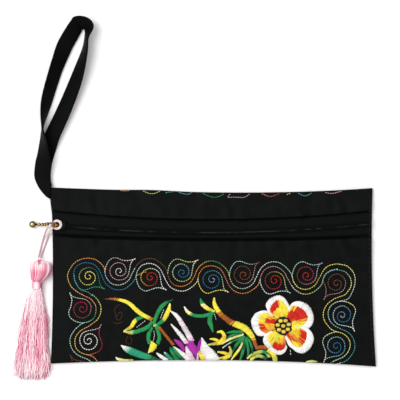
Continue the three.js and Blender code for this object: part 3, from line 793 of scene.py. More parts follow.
class WRISTLET_OT_pouch(bpy.types.Operator):
    """Folds the black cloth into the pouch, open between the lips of the zip"""
    bl_idname = "wristlet.pouch"
    bl_label = "Pouch cloth"

    def execute(self, context):
        settings = context.scene.wristlet_pouch
        even = np.linspace(0, 1, FINE.pouch)
        outer, inner = self.sheet(mix(even, 0.5 - 0.5 * np.cos(np.pi * even), SIDE_CROWD))
        along, columns = outer.shape[:2]
        ring = np.concatenate([outer, inner[:, -2:0:-1]], axis=1)
        count = ring.shape[1]
        walls = grid_faces(along, count, ring_columns=True)
        caps = [self.cap(columns, count, 0), self.cap(columns, count, (along - 1) * count)[:, ::-1]]
        material = cloth_finish("black_cloth", settings.cloth, settings.weave)
        cloth = make_piece("pouch_cloth", ring.reshape(-1, 3), [walls, *caps], material)
        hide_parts("body")
        return {"FINISHED"}

    def cap(self, columns, count, first):
        """Quads between the outer and inner cloth at a side seam."""
        i = np.arange(1, columns - 2)
        return first + joined(i, count - i, count - i - 1, i + 1)

    def sheet(self, share):
        """Outer and inner face of the cloth at shares of the width: for each, a section that runs from the
        upper lip over the top fold, the flat back and the bottom fold to the lower lip."""
        x_mid = mix(LEFT_SIDE[0], RIGHT_SIDE[0], share)[:, None]
        top, bottom = top_y(x_mid), edge_y(BOTTOM_EDGE, x_mid)
        lip = WALL / 2
        quarter = np.linspace(0, np.pi / 2, FINE.fold)
        upper = mix(edge_y(UPPER_LIP, x_mid) + lip, top - FOLD, np.linspace(0, 1, FINE.upper))
        lower = mix(bottom + FOLD, edge_y(LOWER_LIP, x_mid) - lip, np.linspace(0, 1, FINE.lower))
        top_turn = top - FOLD + FOLD * np.sin(quarter)
        bottom_turn = bottom + FOLD - FOLD * np.sin(quarter)
        back = mix(top - FOLD, bottom + FOLD, np.linspace(0, 1, FINE.back))
        front = np.concatenate([upper[:, :-1], top_turn], axis=1)
        under = np.concatenate([top_turn[:, -2:0:-1], back, bottom_turn[:, 1:-1]], axis=1)
        rest = np.concatenate([bottom_turn[:, ::-1], lower[:, 1:]], axis=1)
        y = np.concatenate([front, under, rest], axis=1)
        x = mix(left_x(y), right_x(y), share[:, None])
        on_back = np.zeros(y.shape[1], dtype=bool)
        on_back[front.shape[1]:front.shape[1] + under.shape[1]] = True
        past = np.maximum(y - top + FOLD, bottom + FOLD - y)
        below = drawn_in(FOLD - FOLD * fold_round(past), x, y)
        z = np.where(on_back, below, cloth_height(x, y))
        slope = np.gradient(joined(y, z), axis=1)
        inward = unit(joined(slope[..., 1], -slope[..., 0]))
        wall = WALL * side_squeeze(x, y)
        outer = joined(x, y, z)
        inner = joined(x, y + wall * inward[..., 0], z + wall * inward[..., 1])
        return self.with_lips(outer, inner, lip)

    def with_lips(self, outer, inner, lip):
        """Adds half a round to the outer and the inner face at both lips, so that they meet."""
        turn = np.linspace(0, np.pi / 2, FINE.lip)[1:]
        ends = []
        for column, sign in ((0, -1.0), (-1, 1.0)):
            x, y, z = (outer[:, column, k][:, None] for k in range(3))
            squeeze = side_squeeze(x, y)
            y = y + sign * lip * np.sin(turn)
            levels = (z - lip * squeeze * (1 + face * np.cos(turn)) for face in (-1, 1))
            ends.append([joined(x, y, level) for level in levels])
        (first_out, first_in), (last_out, last_in) = ends
        return (np.concatenate([first_out[:, ::-1], outer, last_out], axis=1),
                np.concatenate([first_in[:, ::-1], inner, last_in], axis=1))


# Zip


class WRISTLET_OT_zip(bpy.types.Operator):
    """Winds the two halves of the coil and weaves the tapes"""
    bl_idname = "wristlet.zip"
    bl_label = "Zip"

    def execute(self, context):
        settings = context.scene.wristlet_pouch
        weave = tape_finish("zip_tape", settings.cloth, settings.tape_rib)
        for which, lip in (("upper", UPPER_LIP), ("lower", LOWER_LIP)):
            points, faces = self.tape(lip, *CREASE[which])
            tape = make_piece("tape_weave_" + which, points, faces, weave)
            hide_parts("zip_tape_" + which)
        paths = np.stack([self.coil(1.0), self.coil(-1.0)])
        points = tube_points(paths, COIL.wire, COIL.wire, FINE.coil_round)
        faces = tube_faces(2, paths.shape[1], FINE.coil_round)
        # Painted glints: a thin line along the coil, a little below its middle, faded in away from the slider
        off_line = (points[:, 1] - edge_y(ZIP_LINE, points[:, 0])) / COIL.half
        painted_glint = np.exp(-((off_line - COIL_PAINTED_GLINT.off) / COIL_PAINTED_GLINT.spread) ** 2)
        painted_glint = painted_glint * smooth(COIL_PAINTED_GLINT.start, COIL_PAINTED_GLINT.full, points[:, 0])
        coil = make_piece("zip_coil_turns", points, faces, nylon_finish("zip_coil"), grey(painted_glint))
        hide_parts("zip_coil")
        return {"FINISHED"}

    def tape(self, lip, crease, sag):
        """Woven tape from beside the coil to beneath its lip, over which it sags into a crease:
        z = front - wall - sag s, with s rising from 0 to 1 over the crease's width before the lip."""
        columns = FINE.tape_across
        share = np.linspace(0, 1, FINE.tape)[:, None]
        x = mix(LEFT_SIDE[0], RIGHT_SIDE[0], share)
        zip_y, lip_y = edge_y(ZIP_LINE, x), edge_y(lip, x)
        side = np.sign(lip_y - zip_y)
        y = mix(zip_y + side * TAPE.split, lip_y + side * TAPE.tuck, np.linspace(0, 1, columns)[None])
        x = mix(left_x(y) + TAPE.inset, right_x(y) - TAPE.inset, share)
        inside = (lip_y - y) * side
        z = drawn_in(tape_height(x, y) - sag * smooth(crease, 0.0, inside), x, y)
        z = np.maximum(z, WALL + TAPE.thick)
        face = joined(x, y, z)
        back = face[:, ::-1] - (0, 0, TAPE.thick)
        section = np.concatenate([face, back], axis=1)
        return section.reshape(-1, 3), tube_faces(1, len(share), 2 * columns)

    def coil(self, side):
        """Flattened helix of one half, its inner bends between those of the other half."""
        turns = (COIL.end - COIL.start) / COIL.pitch
        angle = np.linspace(0, 2 * np.pi * turns, int(turns * FINE.coil_turn))
        x = COIL.start + COIL.pitch * (angle / (2 * np.pi) + 0.25 * side)
        middle = edge_y(ZIP_LINE, x)
        y = middle + side * (COIL.off + COIL.half * COIL.bend * np.cos(angle))
        bed = drawn_in(tape_height(x, middle), x, middle)
        z = bed + GAP + COIL.rise + COIL.wire + COIL.rise * np.sin(angle)
        return joined(x, y, z)


def slider_place(points):
    """Turns points from the slider's own axes to where it stands on the zip."""
    at = np.array([SLIDER.x, SLIDER.x + 1.0])
    y = edge_y(ZIP_LINE, at)
    z = tape_height(at, y)
    yaw, pitch = np.arctan(y[1] - y[0]), np.arctan(z[1] - z[0])
    lean = np.array([[np.cos(pitch), 0, -np.sin(pitch)], [0, 1, 0], [np.sin(pitch), 0, np.cos(pitch)]])
    swing = np.array([[np.cos(yaw), -np.sin(yaw), 0], [np.sin(yaw), np.cos(yaw), 0], [0, 0, 1]])
    return points @ (swing @ lean).T + np.array([at[0], y[0], z[0]])


class WRISTLET_OT_slider(bpy.types.Operator):
    """Makes the zip slider: two plates with eased edges, neck, side walls and the crown"""
    bl_idname = "wristlet.slider"
    bl_label = "Zip slider"

    def execute(self, context):
        top = GAP + SLIDER_ROOM.above + GAP
        bottom = -SLIDER_ROOM.below - GAP - SLIDER.plate
        groups = [self.plate(top), self.plate(bottom), self.neck(bottom, top), *self.walls(top)]
        points, faces, start = [], [], 0
        for part, quads in groups:
            points.append(part)
            faces.extend(group + start for group in quads)
            start += len(part)
        body = make_piece(
            "slider_body", slider_place(np.concatenate(points)), faces, enamel_finish("slider_enamel"))
        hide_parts("zip_slider")
        bronze = metal_finish("aged_bronze")
        points, faces = self.crown(top + SLIDER.plate)
        shade = grey(np.full(len(points), CROWN.wear))
        make_piece("slider_crown", slider_place(points), faces, bronze, shade)
        return {"FINISHED"}

    def outline(self, angle):
        """Plan of a plate: superellipse that narrows to the nose at -x."""
        u, v = (squared(wave, SLIDER.corner) for wave in (np.cos(angle), np.sin(angle)))
        taper = np.where(u < 0, mix(1.0, SLIDER.nose, -u), mix(1.0, SLIDER.tail, u))
        return joined(u * SLIDER.long / 2, v * taper * SLIDER.wide / 2)

    def plate(self, low):
        """Outline carried up through a section whose edges are eased by a small round."""
        levels = [(low + high * SLIDER.plate, wide) for high, wide in PLATE_SECTION]
        return self.stacked(self.outline(around(FINE.plate_round)), levels)

    def stacked(self, plan, levels):
        """Closed form from rings of one plan, each with its height and scale."""
        rings = [joined(*(plan * scale).T, height) for height, scale in levels]
        return np.concatenate(rings), tube_faces(1, len(rings), len(plan))

    def neck(self, low, high):
        """Round post between the two plates."""
        ring = (SLIDER_NECK.x, 0.0) + SLIDER_NECK.radius * circle(around(FINE.neck_round))
        levels = SLIDER_NECK.sink + np.linspace(low, high, FINE.neck)
        return self.stacked(ring, [(level, 1.0) for level in levels])

    def walls(self, top):
        """Low side walls that steer the two rows of the coil."""
        along = np.linspace(SLIDER_WALL.start, SLIDER_WALL.end, FINE.wall)
        faces = tube_faces(1, len(along), FINE.wall_round)
        level = (GAP + top) / 2 + SLIDER_WALL.lift
        rise = (top - GAP) / 2 + SLIDER_WALL.sink
        for side in (-1.0, 1.0):
            path = joined(along, side * SLIDER_WALL.y, level)[None]
            yield tube_points(path, SLIDER_WALL.half, rise, FINE.wall_round), faces

    def crown(self, base):
        """Arched bar: a flat oval section carried over half a superellipse that stands on the plate."""
        angle = np.pi * np.linspace(1 + CROWN.past, -CROWN.past, FINE.crown)
        reach = CROWN.long / 2 - CROWN.bar / 2
        high = CROWN.high - CROWN.bar / 2 + CROWN.sink
        x = CROWN.x + reach * squared(np.cos(angle), CROWN.corner)
        z = base - CROWN.sink + high * np.clip(np.sin(angle), 0, 1) ** CROWN.corner
        path = joined(x, 0.0, z)
        ahead = unit(np.gradient(path, axis=0))
        across = np.array([0.0, 1.0, 0.0])
        out = np.cross(ahead, across)
        ring = around(FINE.crown_round)[:, None]
        points = path[:, None] + CROWN.wide / 2 * np.cos(ring) * across
        points = points + CROWN.bar / 2 * np.sin(ring) * out[:, None]
        return points.reshape(-1, 3), tube_faces(1, len(path), len(ring))


class WRISTLET_OT_puller(bpy.types.Operator):
    """Strings the bead chain and its ball"""
    bl_idname = "wristlet.puller"
    bl_label = "Bead-chain puller"

    def execute(self, context):
        brass = metal_finish("brass")
        # Chain and ball hold painted light: a painted highlight facing up, painted shade round the rim
        points, faces, wear = self.beads()
        chain = make_piece("bead_chain", points, faces, brass, grey(wear))
        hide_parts("pull_chain")
        bronze = metal_finish("link_bronze")
        points, faces = self.link()
        make_piece("chain_link", points, [faces], bronze, grey(np.full(len(points), LINK.wear)))
        points, faces, wear = self.ball()
        ball = make_piece("chain_ball", points, faces, brass, grey(wear))
        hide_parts("pull_ball")
        return {"FINISHED"}

    def turned(self, path, radius, widest, sides):
        """Round form along a path, with a painted highlight where it faces up and painted shade round the
        rim.
        """
        up = (radius / widest)[:, None] * np.sin(around(sides, 0.5))
        points = tube_points(path[None], radius, radius, sides)
        return points, tube_faces(1, len(path), sides), smooth(*PAINTED_HIGHLIGHT_SPAN, up).ravel()

    def link(self):
        """Oval ring of wire that leans from the crown up over the cord."""
        turn, ring = np.meshgrid(around(FINE.link), around(FINE.link_round), indexing="ij")
        reach = LINK.wire * np.cos(ring)
        points = joined(
            LINK.x + (LINK.half_long + reach) * np.cos(turn),
            LINK.y + (LINK.half_wide + reach) * np.sin(turn),
            LINK.z - LINK.lean * np.cos(turn) + LINK.wire * np.sin(ring))
        return points.reshape(-1, 3), grid_faces(*turn.shape, ring_rows=True, ring_columns=True)

    def beads(self):
        """Smooth line from link to ball, its radius swelling to a sphere at each bead."""
        end = (BALL.x + BALL.radius + BALL.neck + GAP, CHAIN.y, BALL.radius + GAP)
        route = np.array([*CHAIN_ROUTE, end])
        line = catmull(route, np.linspace(0, len(route) - 1, FINE.chain))
        length = arc_lengths(line)[-1]
        beads = int((length - CHAIN.bead) / CHAIN.pitch)
        along = np.linspace(0, length, beads * FINE.bead)
        last = length - CHAIN.bead
        off = (along - last + CHAIN.pitch / 2) % CHAIN.pitch - CHAIN.pitch / 2
        on_bead = along > last - CHAIN.pitch * (beads - 0.5)
        round_off = np.sqrt(np.clip(CHAIN.bead ** 2 - off ** 2, 0, None))
        radius = np.maximum(np.where(on_bead, round_off, 0), CHAIN.rod)
        return self.turned(walk(line, along), radius, CHAIN.bead, FINE.chain_round)

    def ball(self):
        """Sphere turned about X that runs out into a short collar."""
        angle = np.radians(np.linspace(*BALL.turn, FINE.ball))
        x = np.append(BALL.radius * np.cos(angle), BALL.radius + BALL.neck)
        radius = np.append(BALL.radius * np.sin(angle), BALL.collar)
        path = joined(BALL.x + x, CHAIN.y, BALL.radius + GAP)
        return self.turned(path, radius, BALL.radius, FINE.ball_round)


# Strap


def strap_frame(place):
    """Centre, across, through and half width of the strap at fractional rows of its table."""
    rows = catmull(STRAP_ROWS, place)
    x, y, heading, roll, lift, wide = rows.T
    turn, tip = np.radians(heading), np.radians(roll)
    ahead = joined(np.cos(turn), np.sin(turn), 0.0)
    across = joined(-np.sin(turn) * np.cos(tip), np.cos(turn) * np.cos(tip), np.sin(tip))
    through = np.cross(ahead, across)
    height = lift + wide / 2 * np.abs(across[:, 2]) + STRAP_THICK / 2 * np.abs(through[:, 2])
    return joined(x, y, height), across, through, wide / 2


class WRISTLET_OT_strap(bpy.types.Operator):
    """Folds the wrist strap, with a shallow groove along each edge"""
    bl_idname = "wristlet.strap"
    bl_label = "Wrist strap"

    def execute(self, context):
        settings = context.scene.wristlet_pouch
        bends, sides = len(STRAP_ROWS) - 1, FINE.strap_round
        place = np.linspace(0, bends, bends * FINE.strap_bend + 1)
        centre, across, through, half = strap_frame(place)
        across_share, depth = self.section(sides)
        reach = across_share[None, :, None] * half[:, None, None] * across[:, None]
        sink = depth[None, :, None] * (STRAP_THICK / 2) * through[:, None]
        points = (centre[:, None] + reach + sink).reshape(-1, 3)
        colour = STRAP_CLOTH.tone * np.array(settings.cloth)
        material = cloth_finish("strap_cloth", colour, settings.weave * STRAP_CLOTH.weave)
        strap = make_piece("strap_cloth", points, tube_faces(1, len(place), sides), material)
        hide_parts("wrist_strap")
        return {"FINISHED"}

    def section(self, sides):
        """Flat rounded section with a shallow groove along each row of edge stitches."""
        angle = around(sides, 0.5)
        wide = squared(np.cos(angle), STRAP_SECTION.wide)
        deep = squared(np.sin(angle), STRAP_SECTION.deep)
        off_row = (np.abs(wide) - STRAP_GROOVE.place) / STRAP_GROOVE.spread
        return wide, deep * (1 - STRAP_GROOVE.depth * np.exp(-off_row ** 2))


# Tassel


def skirt_edge(y, column):
    """x of the skirt's left (1) or right (2) edge."""
    return np.interp(-y, -SKIRT_ROWS[:, 0], SKIRT_ROWS[:, column])


class WRISTLET_OT_tassel(bpy.types.Operator):
    """Gathers the threads of the tassel: knot, head, binding and skirt"""
    bl_idname = "wristlet.tassel"
    bl_label = "Tassel"

    def execute(self, context):
        settings = context.scene.wristlet_tassel
        self.rng = np.random.default_rng(SEEDS.tassel)
        self.radius = settings.thread_radius / MM
        self.pale, self.deep = np.array(settings.pale), np.array(settings.deep)
        self.material = thread_finish("pink_thread")
        skirt = self.skirt(settings.threads)
        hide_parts("tassel")
        self.head()
        binding = self.binding()
        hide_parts("tassel_binding")
        self.knot()
        return {"FINISHED"}

    def tint(self, share):
        """Thread colours between deep and pale, some nearly white."""
        white = mix(self.pale, np.ones(3), 0.75)
        share, turn = np.asarray(share)[..., None], 0.6
        darker = mix(self.deep, self.pale, share / turn)
        return np.where(share < turn, darker, mix(self.pale, white, (share - turn) / (1 - turn)))

    def threads(self, name, paths, radius, colours, sides):
        """Many tubes of thread with a colour for each ring."""
        copies, rings = paths.shape[:2]
        points = tube_points(paths, radius, radius, sides)
        faces = tube_faces(copies, rings, sides)
        spread = np.repeat(colours.reshape(-1, 3), sides, axis=0)
        return make_piece(name, points, faces, self.material, spread)

    def skirt(self, count):
        """Threads that leave the neck in an oval bundle and fan out to the skirt's edges in a low heap:
        x runs from edge to edge by the thread's share, z falls from the neck to its own layer."""
        rng = self.rng
        share, layer = rng.random(count), rng.random(count) ** 0.8
        lock = sum(0.5 * np.sin(rate * share + phase) for rate, phase in SKIRT_LOCKS)
        side = np.abs(2 * share - 1)
        tip = SKIRT_ROWS[-1, 0] + SKIRT.short * rng.random(count) ** 2
        tip = tip + SKIRT.corner * side ** 4 + SKIRT.lock * (1 + lock)
        share, layer, lock, side, tip = (values[:, None] for values in (share, layer, lock, side, tip))
        t = np.linspace(0, 1, SKIRT.rings)[None] ** 1.3
        y = mix(SKIRT.root, tip, t)
        fan = smooth(0.0, SKIRT.fan, t)
        bundle = 2 * np.pi * share + SKIRT.mingle * rng.standard_normal((count, 1))
        core = np.sqrt(rng.random((count, 1)))
        neck_x = BINDING.x - SKIRT.neck_half * core * np.cos(0.5 * bundle)
        neck_z = BINDING.z + SKIRT.neck_rise * core * (2 * layer - 1)
        left, right = skirt_edge(y, 1) + SKIRT.inset, skirt_edge(y, 2) - SKIRT.inset
        near_end = smooth(SKIRT.fray_from, 1.0, t)
        wave = self.wander(count, t, SKIRT.sway)
        wave = wave + SKIRT.fray * rng.standard_normal((count, 1)) * near_end
        rate = mix(*SKIRT.crimp_rate, rng.random((count, 1)))
        crimp = SKIRT.crimp * np.sin(y * rate + SKIRT.crimp_phase * rng.random((count, 1)))
        x = mix(neck_x, mix(left, right, share) + wave + crimp, fan)
        heap = mix(*SKIRT.heap, t) * (1 - SKIRT.slope * side ** 3)
        z = mix(neck_z, SKIRT.bed + layer * heap + SKIRT.lift * self.wander(count, t, 1.0), fan)
        paths = joined(x, y, np.maximum(z, SKIRT.lowest))
        # Painted shade: threads low in the heap get deeper colours, as if shaded by those above; lighter near
        # the root and towards the ends, varied by lock and at random
        shade = SKIRT_SHADE.deepest + SKIRT_SHADE.layer * layer + SKIRT_SHADE.lock * lock
        shade = shade + SKIRT_SHADE.spread * rng.standard_normal((count, 1))
        near_root = 1 - smooth(*SKIRT_SHADE.root_fade, t)
        lighter = SKIRT_SHADE.root * near_root + SKIRT_SHADE.end * near_end
        shade = shade + lighter + SKIRT_SHADE.drift * self.wander(count, t, 1.0)
        radius = self.radius * mix(*SKIRT.thick, rng.random((count, 1))) * mix(*SKIRT.taper, t)
        colours = self.tint(np.clip(shade, 0, 1))
        return self.threads("tassel_skirt", paths, radius, colours, FINE.skirt_round)

    def wander(self, count, t, size):
        """Slow sideways sway of each thread, none at the root."""
        rate = mix(*WANDER.rate, self.rng.random((count, 1)))
        phase = 2 * np.pi * self.rng.random((count, 1))
        swing = size * self.rng.standard_normal((count, 1))
        return swing * np.sin(rate * t + phase) * smooth(*WANDER.start, t)

    def head(self):
        """Threads doubled over the knot: they follow the head's oval sections at their own angle, with
        darker streaks at a few angles and below the shoulder, and painted shade down the right side, away
        from the light."""
        count, rings = HEAD.threads, HEAD.rings
        angle = around(count, 0.5)[:, None]
        rows = catmull(HEAD_ROWS, np.linspace(0, len(HEAD_ROWS) - 1, rings))
        y, x, half, middle, rise = rows.T[:, None]
        slack = 1 - self.radius / 6 + HEAD.slack * self.rng.standard_normal((count, 1))
        down = np.linspace(0, 1, rings)[None]
        lean = angle + HEAD.lean * np.sin(np.pi * down) * self.rng.standard_normal((count, 1))
        z = np.maximum(middle + rise * slack * np.sin(lean), HEAD.lowest)
        paths = joined(x + half * slack * np.cos(lean), y, z)
        side = np.cos(angle)
        streak = sum(depth * np.exp(-((side - at) / spread) ** 2) for at, spread, depth in HEAD_STREAKS)
        # Painted shade down the right side of the head, away from the light on the left
        streak = (streak + smooth(0.88, 0.96, side)) * smooth(0.15, 0.35, down)
        below = mix(*HEAD_SHADE.below, smooth(0.3, 0.5, side)) * smooth(0.36, 0.52, down)
        share = HEAD_SHADE.middle + HEAD_SHADE.spread * self.rng.standard_normal((count, 1))
        share = np.clip(share - HEAD_SHADE.streak * streak - below, 0, 1)
        radius = self.radius * HEAD.thick
        self.threads("tassel_head", paths, radius, self.tint(share), FINE.head_round)
        self.core(rows)

    def core(self, rows):
        """Packed threads inside the head, as one oval form a little smaller than its outside."""
        angle = around(CORE.sides)
        y, x, half, middle, rise = rows.T[..., None]
        z = np.maximum(middle + CORE.share * rise * np.sin(angle), CORE.lowest)
        points = joined(x + CORE.share * half * np.cos(angle), y, z)
        self.plain("tassel_core", points.reshape(-1, 3), len(rows), CORE.sides, CORE.shade)

    def plain(self, name, points, rings, sides, share):
        """One tube in one colour between deep and pale."""
        colours = np.repeat(mix(self.deep, self.pale, share)[None], len(points), axis=0)
        make_piece(name, points, tube_faces(1, rings, sides), self.material, colours)

    def binding(self):
        """Thread wound in a close helix round the oval neck, painted lighter on top and on the left and
        darker on the right, as light from above on the left would fall.
        """
        turns, sides = BINDING.turns, FINE.binding_round
        angle = np.linspace(0, 2 * np.pi * turns, turns * FINE.binding_turn)
        share = angle / angle[-1]
        swell = BINDING.swell * np.sin(np.pi * share)
        x = BINDING.x + (BINDING.half + swell) * np.cos(angle)
        z = np.maximum(BINDING.z + (BINDING.rise + swell) * np.sin(angle), BINDING.lowest)
        path = joined(x, mix(BINDING.start, BINDING.end, share), z)
        # Painted light: each turn lighter on top and on its left side, painted shade on its right side
        light = BINDING.dim + BINDING.top * np.sin(angle) ** 3 - BINDING.left * np.cos(angle)
        colours = np.repeat(self.tint(np.clip(light, 0, 1)), sides, axis=0)
        points = self.round_tube(path, BINDING.thread, sides)
        faces = tube_faces(1, len(path), sides)
        return make_piece("tassel_winding", points, faces, self.material, colours)

    def round_tube(self, path, radius, sides):
        """Tube round a path that may stand upright, framed by the direction away from the path's middle."""
        ahead = unit(np.gradient(path, axis=0))
        out = path - path.mean(axis=0)
        out = unit(out - np.sum(out * ahead, axis=-1, keepdims=True) * ahead)
        side = np.cross(ahead, out)
        angle = around(sides)[:, None]
        ring = np.cos(angle) * out[:, None] + np.sin(angle) * side[:, None]
        return (path[:, None] + radius * ring).reshape(-1, 3)

    def knot(self):
        """Overhand knot as a trefoil of thread, pulled long and leaning on the head."""
        t = np.linspace(0, 2 * np.pi, FINE.knot)
        wind = joined(np.sin(t) + 2 * np.sin(2 * t), np.cos(t) - 2 * np.cos(2 * t), -np.sin(3 * t))
        reach = wind * KNOT.reach
        reach[:, 2] -= KNOT.lean * reach[:, 1]
        path = np.array(KNOT.place) + reach
        points = self.round_tube(path, KNOT.thread, FINE.knot_round)
        self.plain("tassel_knot", points, len(path), FINE.knot_round, KNOT.shade)


# Embroidery: thread colours, the scroll border and the flower spray


THREADS = {
    "white": (0.985, 0.985, 0.97), "mint": (0.74, 0.89, 0.82), "teal": (0.17, 0.65, 0.48),
    "sea": (0.34, 0.64, 0.64), "blue": (0.13, 0.48, 0.66), "sky": (0.66, 0.78, 0.86),
    "mauve": (0.80, 0.62, 0.63), "umber": (0.46, 0.30, 0.25), "brown": (0.69, 0.37, 0.12),
    "bark": (0.40, 0.24, 0.15), "red": (0.85, 0.15, 0.08), "crimson": (0.72, 0.16, 0.27),
    "rose": (0.88, 0.50, 0.50), "orange": (0.94, 0.56, 0.22), "gold": (0.97, 0.78, 0.21),
    "yellow": (0.98, 0.92, 0.28), "cream": (0.98, 0.96, 0.62), "lime": (0.76, 0.82, 0.40),
    "green": (0.14, 0.60, 0.33), "pine": (0.07, 0.38, 0.22), "purple": (0.70, 0.18, 0.67),
    "pink": (0.94, 0.79, 0.87), "blush": (0.97, 0.91, 0.94), "black": (0.07, 0.07, 0.07),
    "slate": (0.13, 0.14, 0.17), "straw": (0.95, 0.83, 0.34), "peach": (0.93, 0.70, 0.50),
}

# One scroll by itself, in pixels: u along the border, v to the side its swirl lies on, radii of the
# swirl from quarter turn to quarter turn
SWIRL_TIP = [(16.6, -12.9), (13.6, -11.2), (11.9, -9.0), (10.8, -4.4)]
SWIRL_RADII = [(10.1,), (8.8,), (9.3,), (8.7,), (6.8,), (4.6,), (3.6,), (3.0,), (2.5,), (1.3,)]
DROP = [
    (16.6, -12.9), (11.7, -11.0), (6.6, -10.6), (2.6, -11.5), (-3.6, -13.7), (-8.2, -12.5),
    (-11.8, -8.2), (-13.7, -3.0), (-14.3, 1.5),
]
NEAR_WAVE = [(-14.2, 0.8), (-12.6, 6.7), (-8.0, 12.1), (-1.0, 13.9), (5.0, 12.3), (9.9, 8.2), (12.8, 2.8)]
FAR_WAVE = [(-15.2, 9.4), (-11.1, 14.6), (-5.8, 17.7), (-0.7, 18.6), (5.0, 17.6), (10.6, 14.0), (14.8, 9.6)]
LEFT_CORNER = {
    "outer": [
        (-3.5, -19.9), (-11.6, -15.3), (-17.8, -9.7), (-20.8, -1.0), (-19.3, 6.1), (-14.7, 12.8),
        (-8.6, 16.5), (-0.4, 18.2), (6.7, 16.8), (11.8, 13.3), (15.7, 9.0)],
    "inner": [
        (4.2, -19.9), (-0.4, -15.8), (-7.0, -13.8), (-12.1, -8.2), (-14.9, 0.0), (-13.7, 7.1), (-9.6, 11.7),
        (-3.5, 13.7), (3.2, 12.8), (8.3, 9.7), (11.8, 4.1)],
}
RIGHT_CORNER = {
    "outer": [
        (-15.6, 8.9), (-12.8, 13.4), (-8.4, 17.6), (0.6, 19.4), (9.5, 17.6), (15.1, 13.2), (18.2, 6.7),
        (18.2, -1.1), (15.6, -8.4), (11.7, -15.1)],
    "inner": [
        (-14.0, 2.2), (-12.3, 7.3), (-8.4, 11.4), (-0.6, 13.7), (7.3, 12.1), (12.8, 7.3), (14.8, 0.6),
        (13.4, -5.0), (8.9, -10.6), (2.8, -13.4), (-3.3, -15.8)],
}

# Scrolls in order: x, y, heading, side, then thread colours of swirl, drop, outer and inner wave
SCROLLS = [
    (83.0, 371.4, 90, -1, "umber bark", "bark", "white mint", "orange peach"),
    (88.6, 340.6, 90, 1, "mauve white white white", "rose crimson crimson crimson orange", "mint",
     "peach straw peach"),
    (82.4, 308.8, 90, -1, "mint mauve umber crimson crimson crimson", "white mint mint",
     "mint green peach orange", "peach straw cream lime sea"),
    (88.5, 276.3, 0, 1, "teal pine lime cream yellow", "teal teal sea", "peach straw orange peach",
     "sea blue blue"),
    (119.2, 271.3, 0, -1, "white mauve mauve mauve white", "white mauve mint", "sky mint mint",
     "blue blue sea"),
    (150.3, 277.2, 0, 1, "white mint straw red red red", "white mint mint", "umber umber bark",
     "mint white white"),
    (181.9, 272.6, 0, -1, "white lime mint blue blue", "cream lime mint", "bark orange orange",
     "white white cream"),
    (212.2, 279.5, 0, 1, "cream sea blue blue blue sky", "cream yellow cream", "gold green lime",
     "orange orange rose"),
    (243.5, 274.8, 0, -1, "umber mauve umber umber umber brown", "umber mint mint", "lime mint white",
     "rose orange peach"),
    (274.4, 280.4, 0, 1, "mint lime umber crimson red red", "mint white mint", "white mint mint",
     "rose mauve mauve"),
    (306.4, 275.5, 0, -1, "sky mauve umber crimson crimson red", "sky mint mint", "cream yellow lime",
     "white lime mint"),
    (336.7, 283.4, -90, 1, "umber mauve umber umber umber crimson", "mauve umber mint", "yellow cream sky",
     "mint sea cream yellow"),
    (341.9, 315.2, -90, -1, "white mint sky blue blue sky", "white mint cream cream", "white mint sky sea",
     "yellow yellow cream"),
    (336.3, 346.1, -90, 1, "mint sea sky blue blue", "white mint cream", "sea", "yellow cream mint"),
    (342.0, 377.0, -90, -1, None, None, "white", "sea"),
]
CORNERS = {3: LEFT_CORNER, 11: RIGHT_CORNER}

# Threads of the back's border that come over the top fold, and loose lines beside the spray
FOLD_LINES = [
    ("peach", [(120.0, 190.4), (124.6, 190.9), (129.6, 190.5)]),
    ("lime", [(142.9, 190.7), (148.2, 193.2), (153.6, 193.6), (160.3, 191.0)]),
    ("sea", [(165.2, 193.2), (169.0, 192.0), (173.2, 191.7)]),
    ("sea", [(178.6, 192.3), (183.4, 193.6), (187.5, 194.5), (192.0, 192.4)]),
    ("green", [(202.7, 193.2), (209.8, 196.3), (216.1, 197.4), (224.1, 193.8)]),
    ("mauve", [(230.4, 193.8), (227.7, 197.4), (235.0, 197.1), (244.0, 197.4), (250.0, 193.8)]),
    ("rose crimson", [(261.7, 193.6), (267.2, 196.0), (271.9, 196.4), (279.3, 193.6)]),
    ("lime", [(286.4, 194.8), (288.6, 193.8), (290.8, 193.2)]),
    ("sea", [(298.0, 193.0), (305.4, 196.0), (311.9, 192.6)]),
    ("mauve", [(325.0, 192.2), (331.5, 193.6), (341.7, 190.9)]),
]
SEAM_LINE = [
    (369.0, 194.0), (369.8, 214.0), (369.2, 240.0), (369.3, 270.0), (370.3, 302.0), (371.3, 334.0),
    (372.8, 360.0),
]
LOOSE_LINES = [
    ("bark", [
        (119.8, 304.5), (116.4, 306.4), (114.3, 310.0), (115.6, 314.6), (115.8, 318.2), (118.4, 320.4),
        (121.2, 318.0), (121.6, 311.8), (118.4, 313.2), (116.6, 317.4)]),
    ("bark", [(112.6, 321.8), (117.4, 323.6), (122.8, 321.4)]),
    ("bark", [
        (128.6, 335.6), (126.0, 339.0), (126.6, 343.4), (130.4, 344.2), (132.0, 340.2), (129.6, 336.4)]),
    ("white", [(214.2, 313.8), (215.2, 316.4), (216.0, 319.6)]),
    ("white", [(290.2, 349.6), (290.6, 352.4), (290.6, 355.2)]),
    ("white", [(160.2, 318.6), (162.0, 314.2), (163.8, 309.2)]),
    ("white", [(145.6, 320.6), (141.0, 324.0), (136.2, 327.6)]),
    ("white", [(153.8, 330.6), (154.4, 336.0), (152.8, 342.0)]),
    ("straw orange", [(136.6, 275.6), (141.3, 273.2), (146.8, 272.0)]),
]

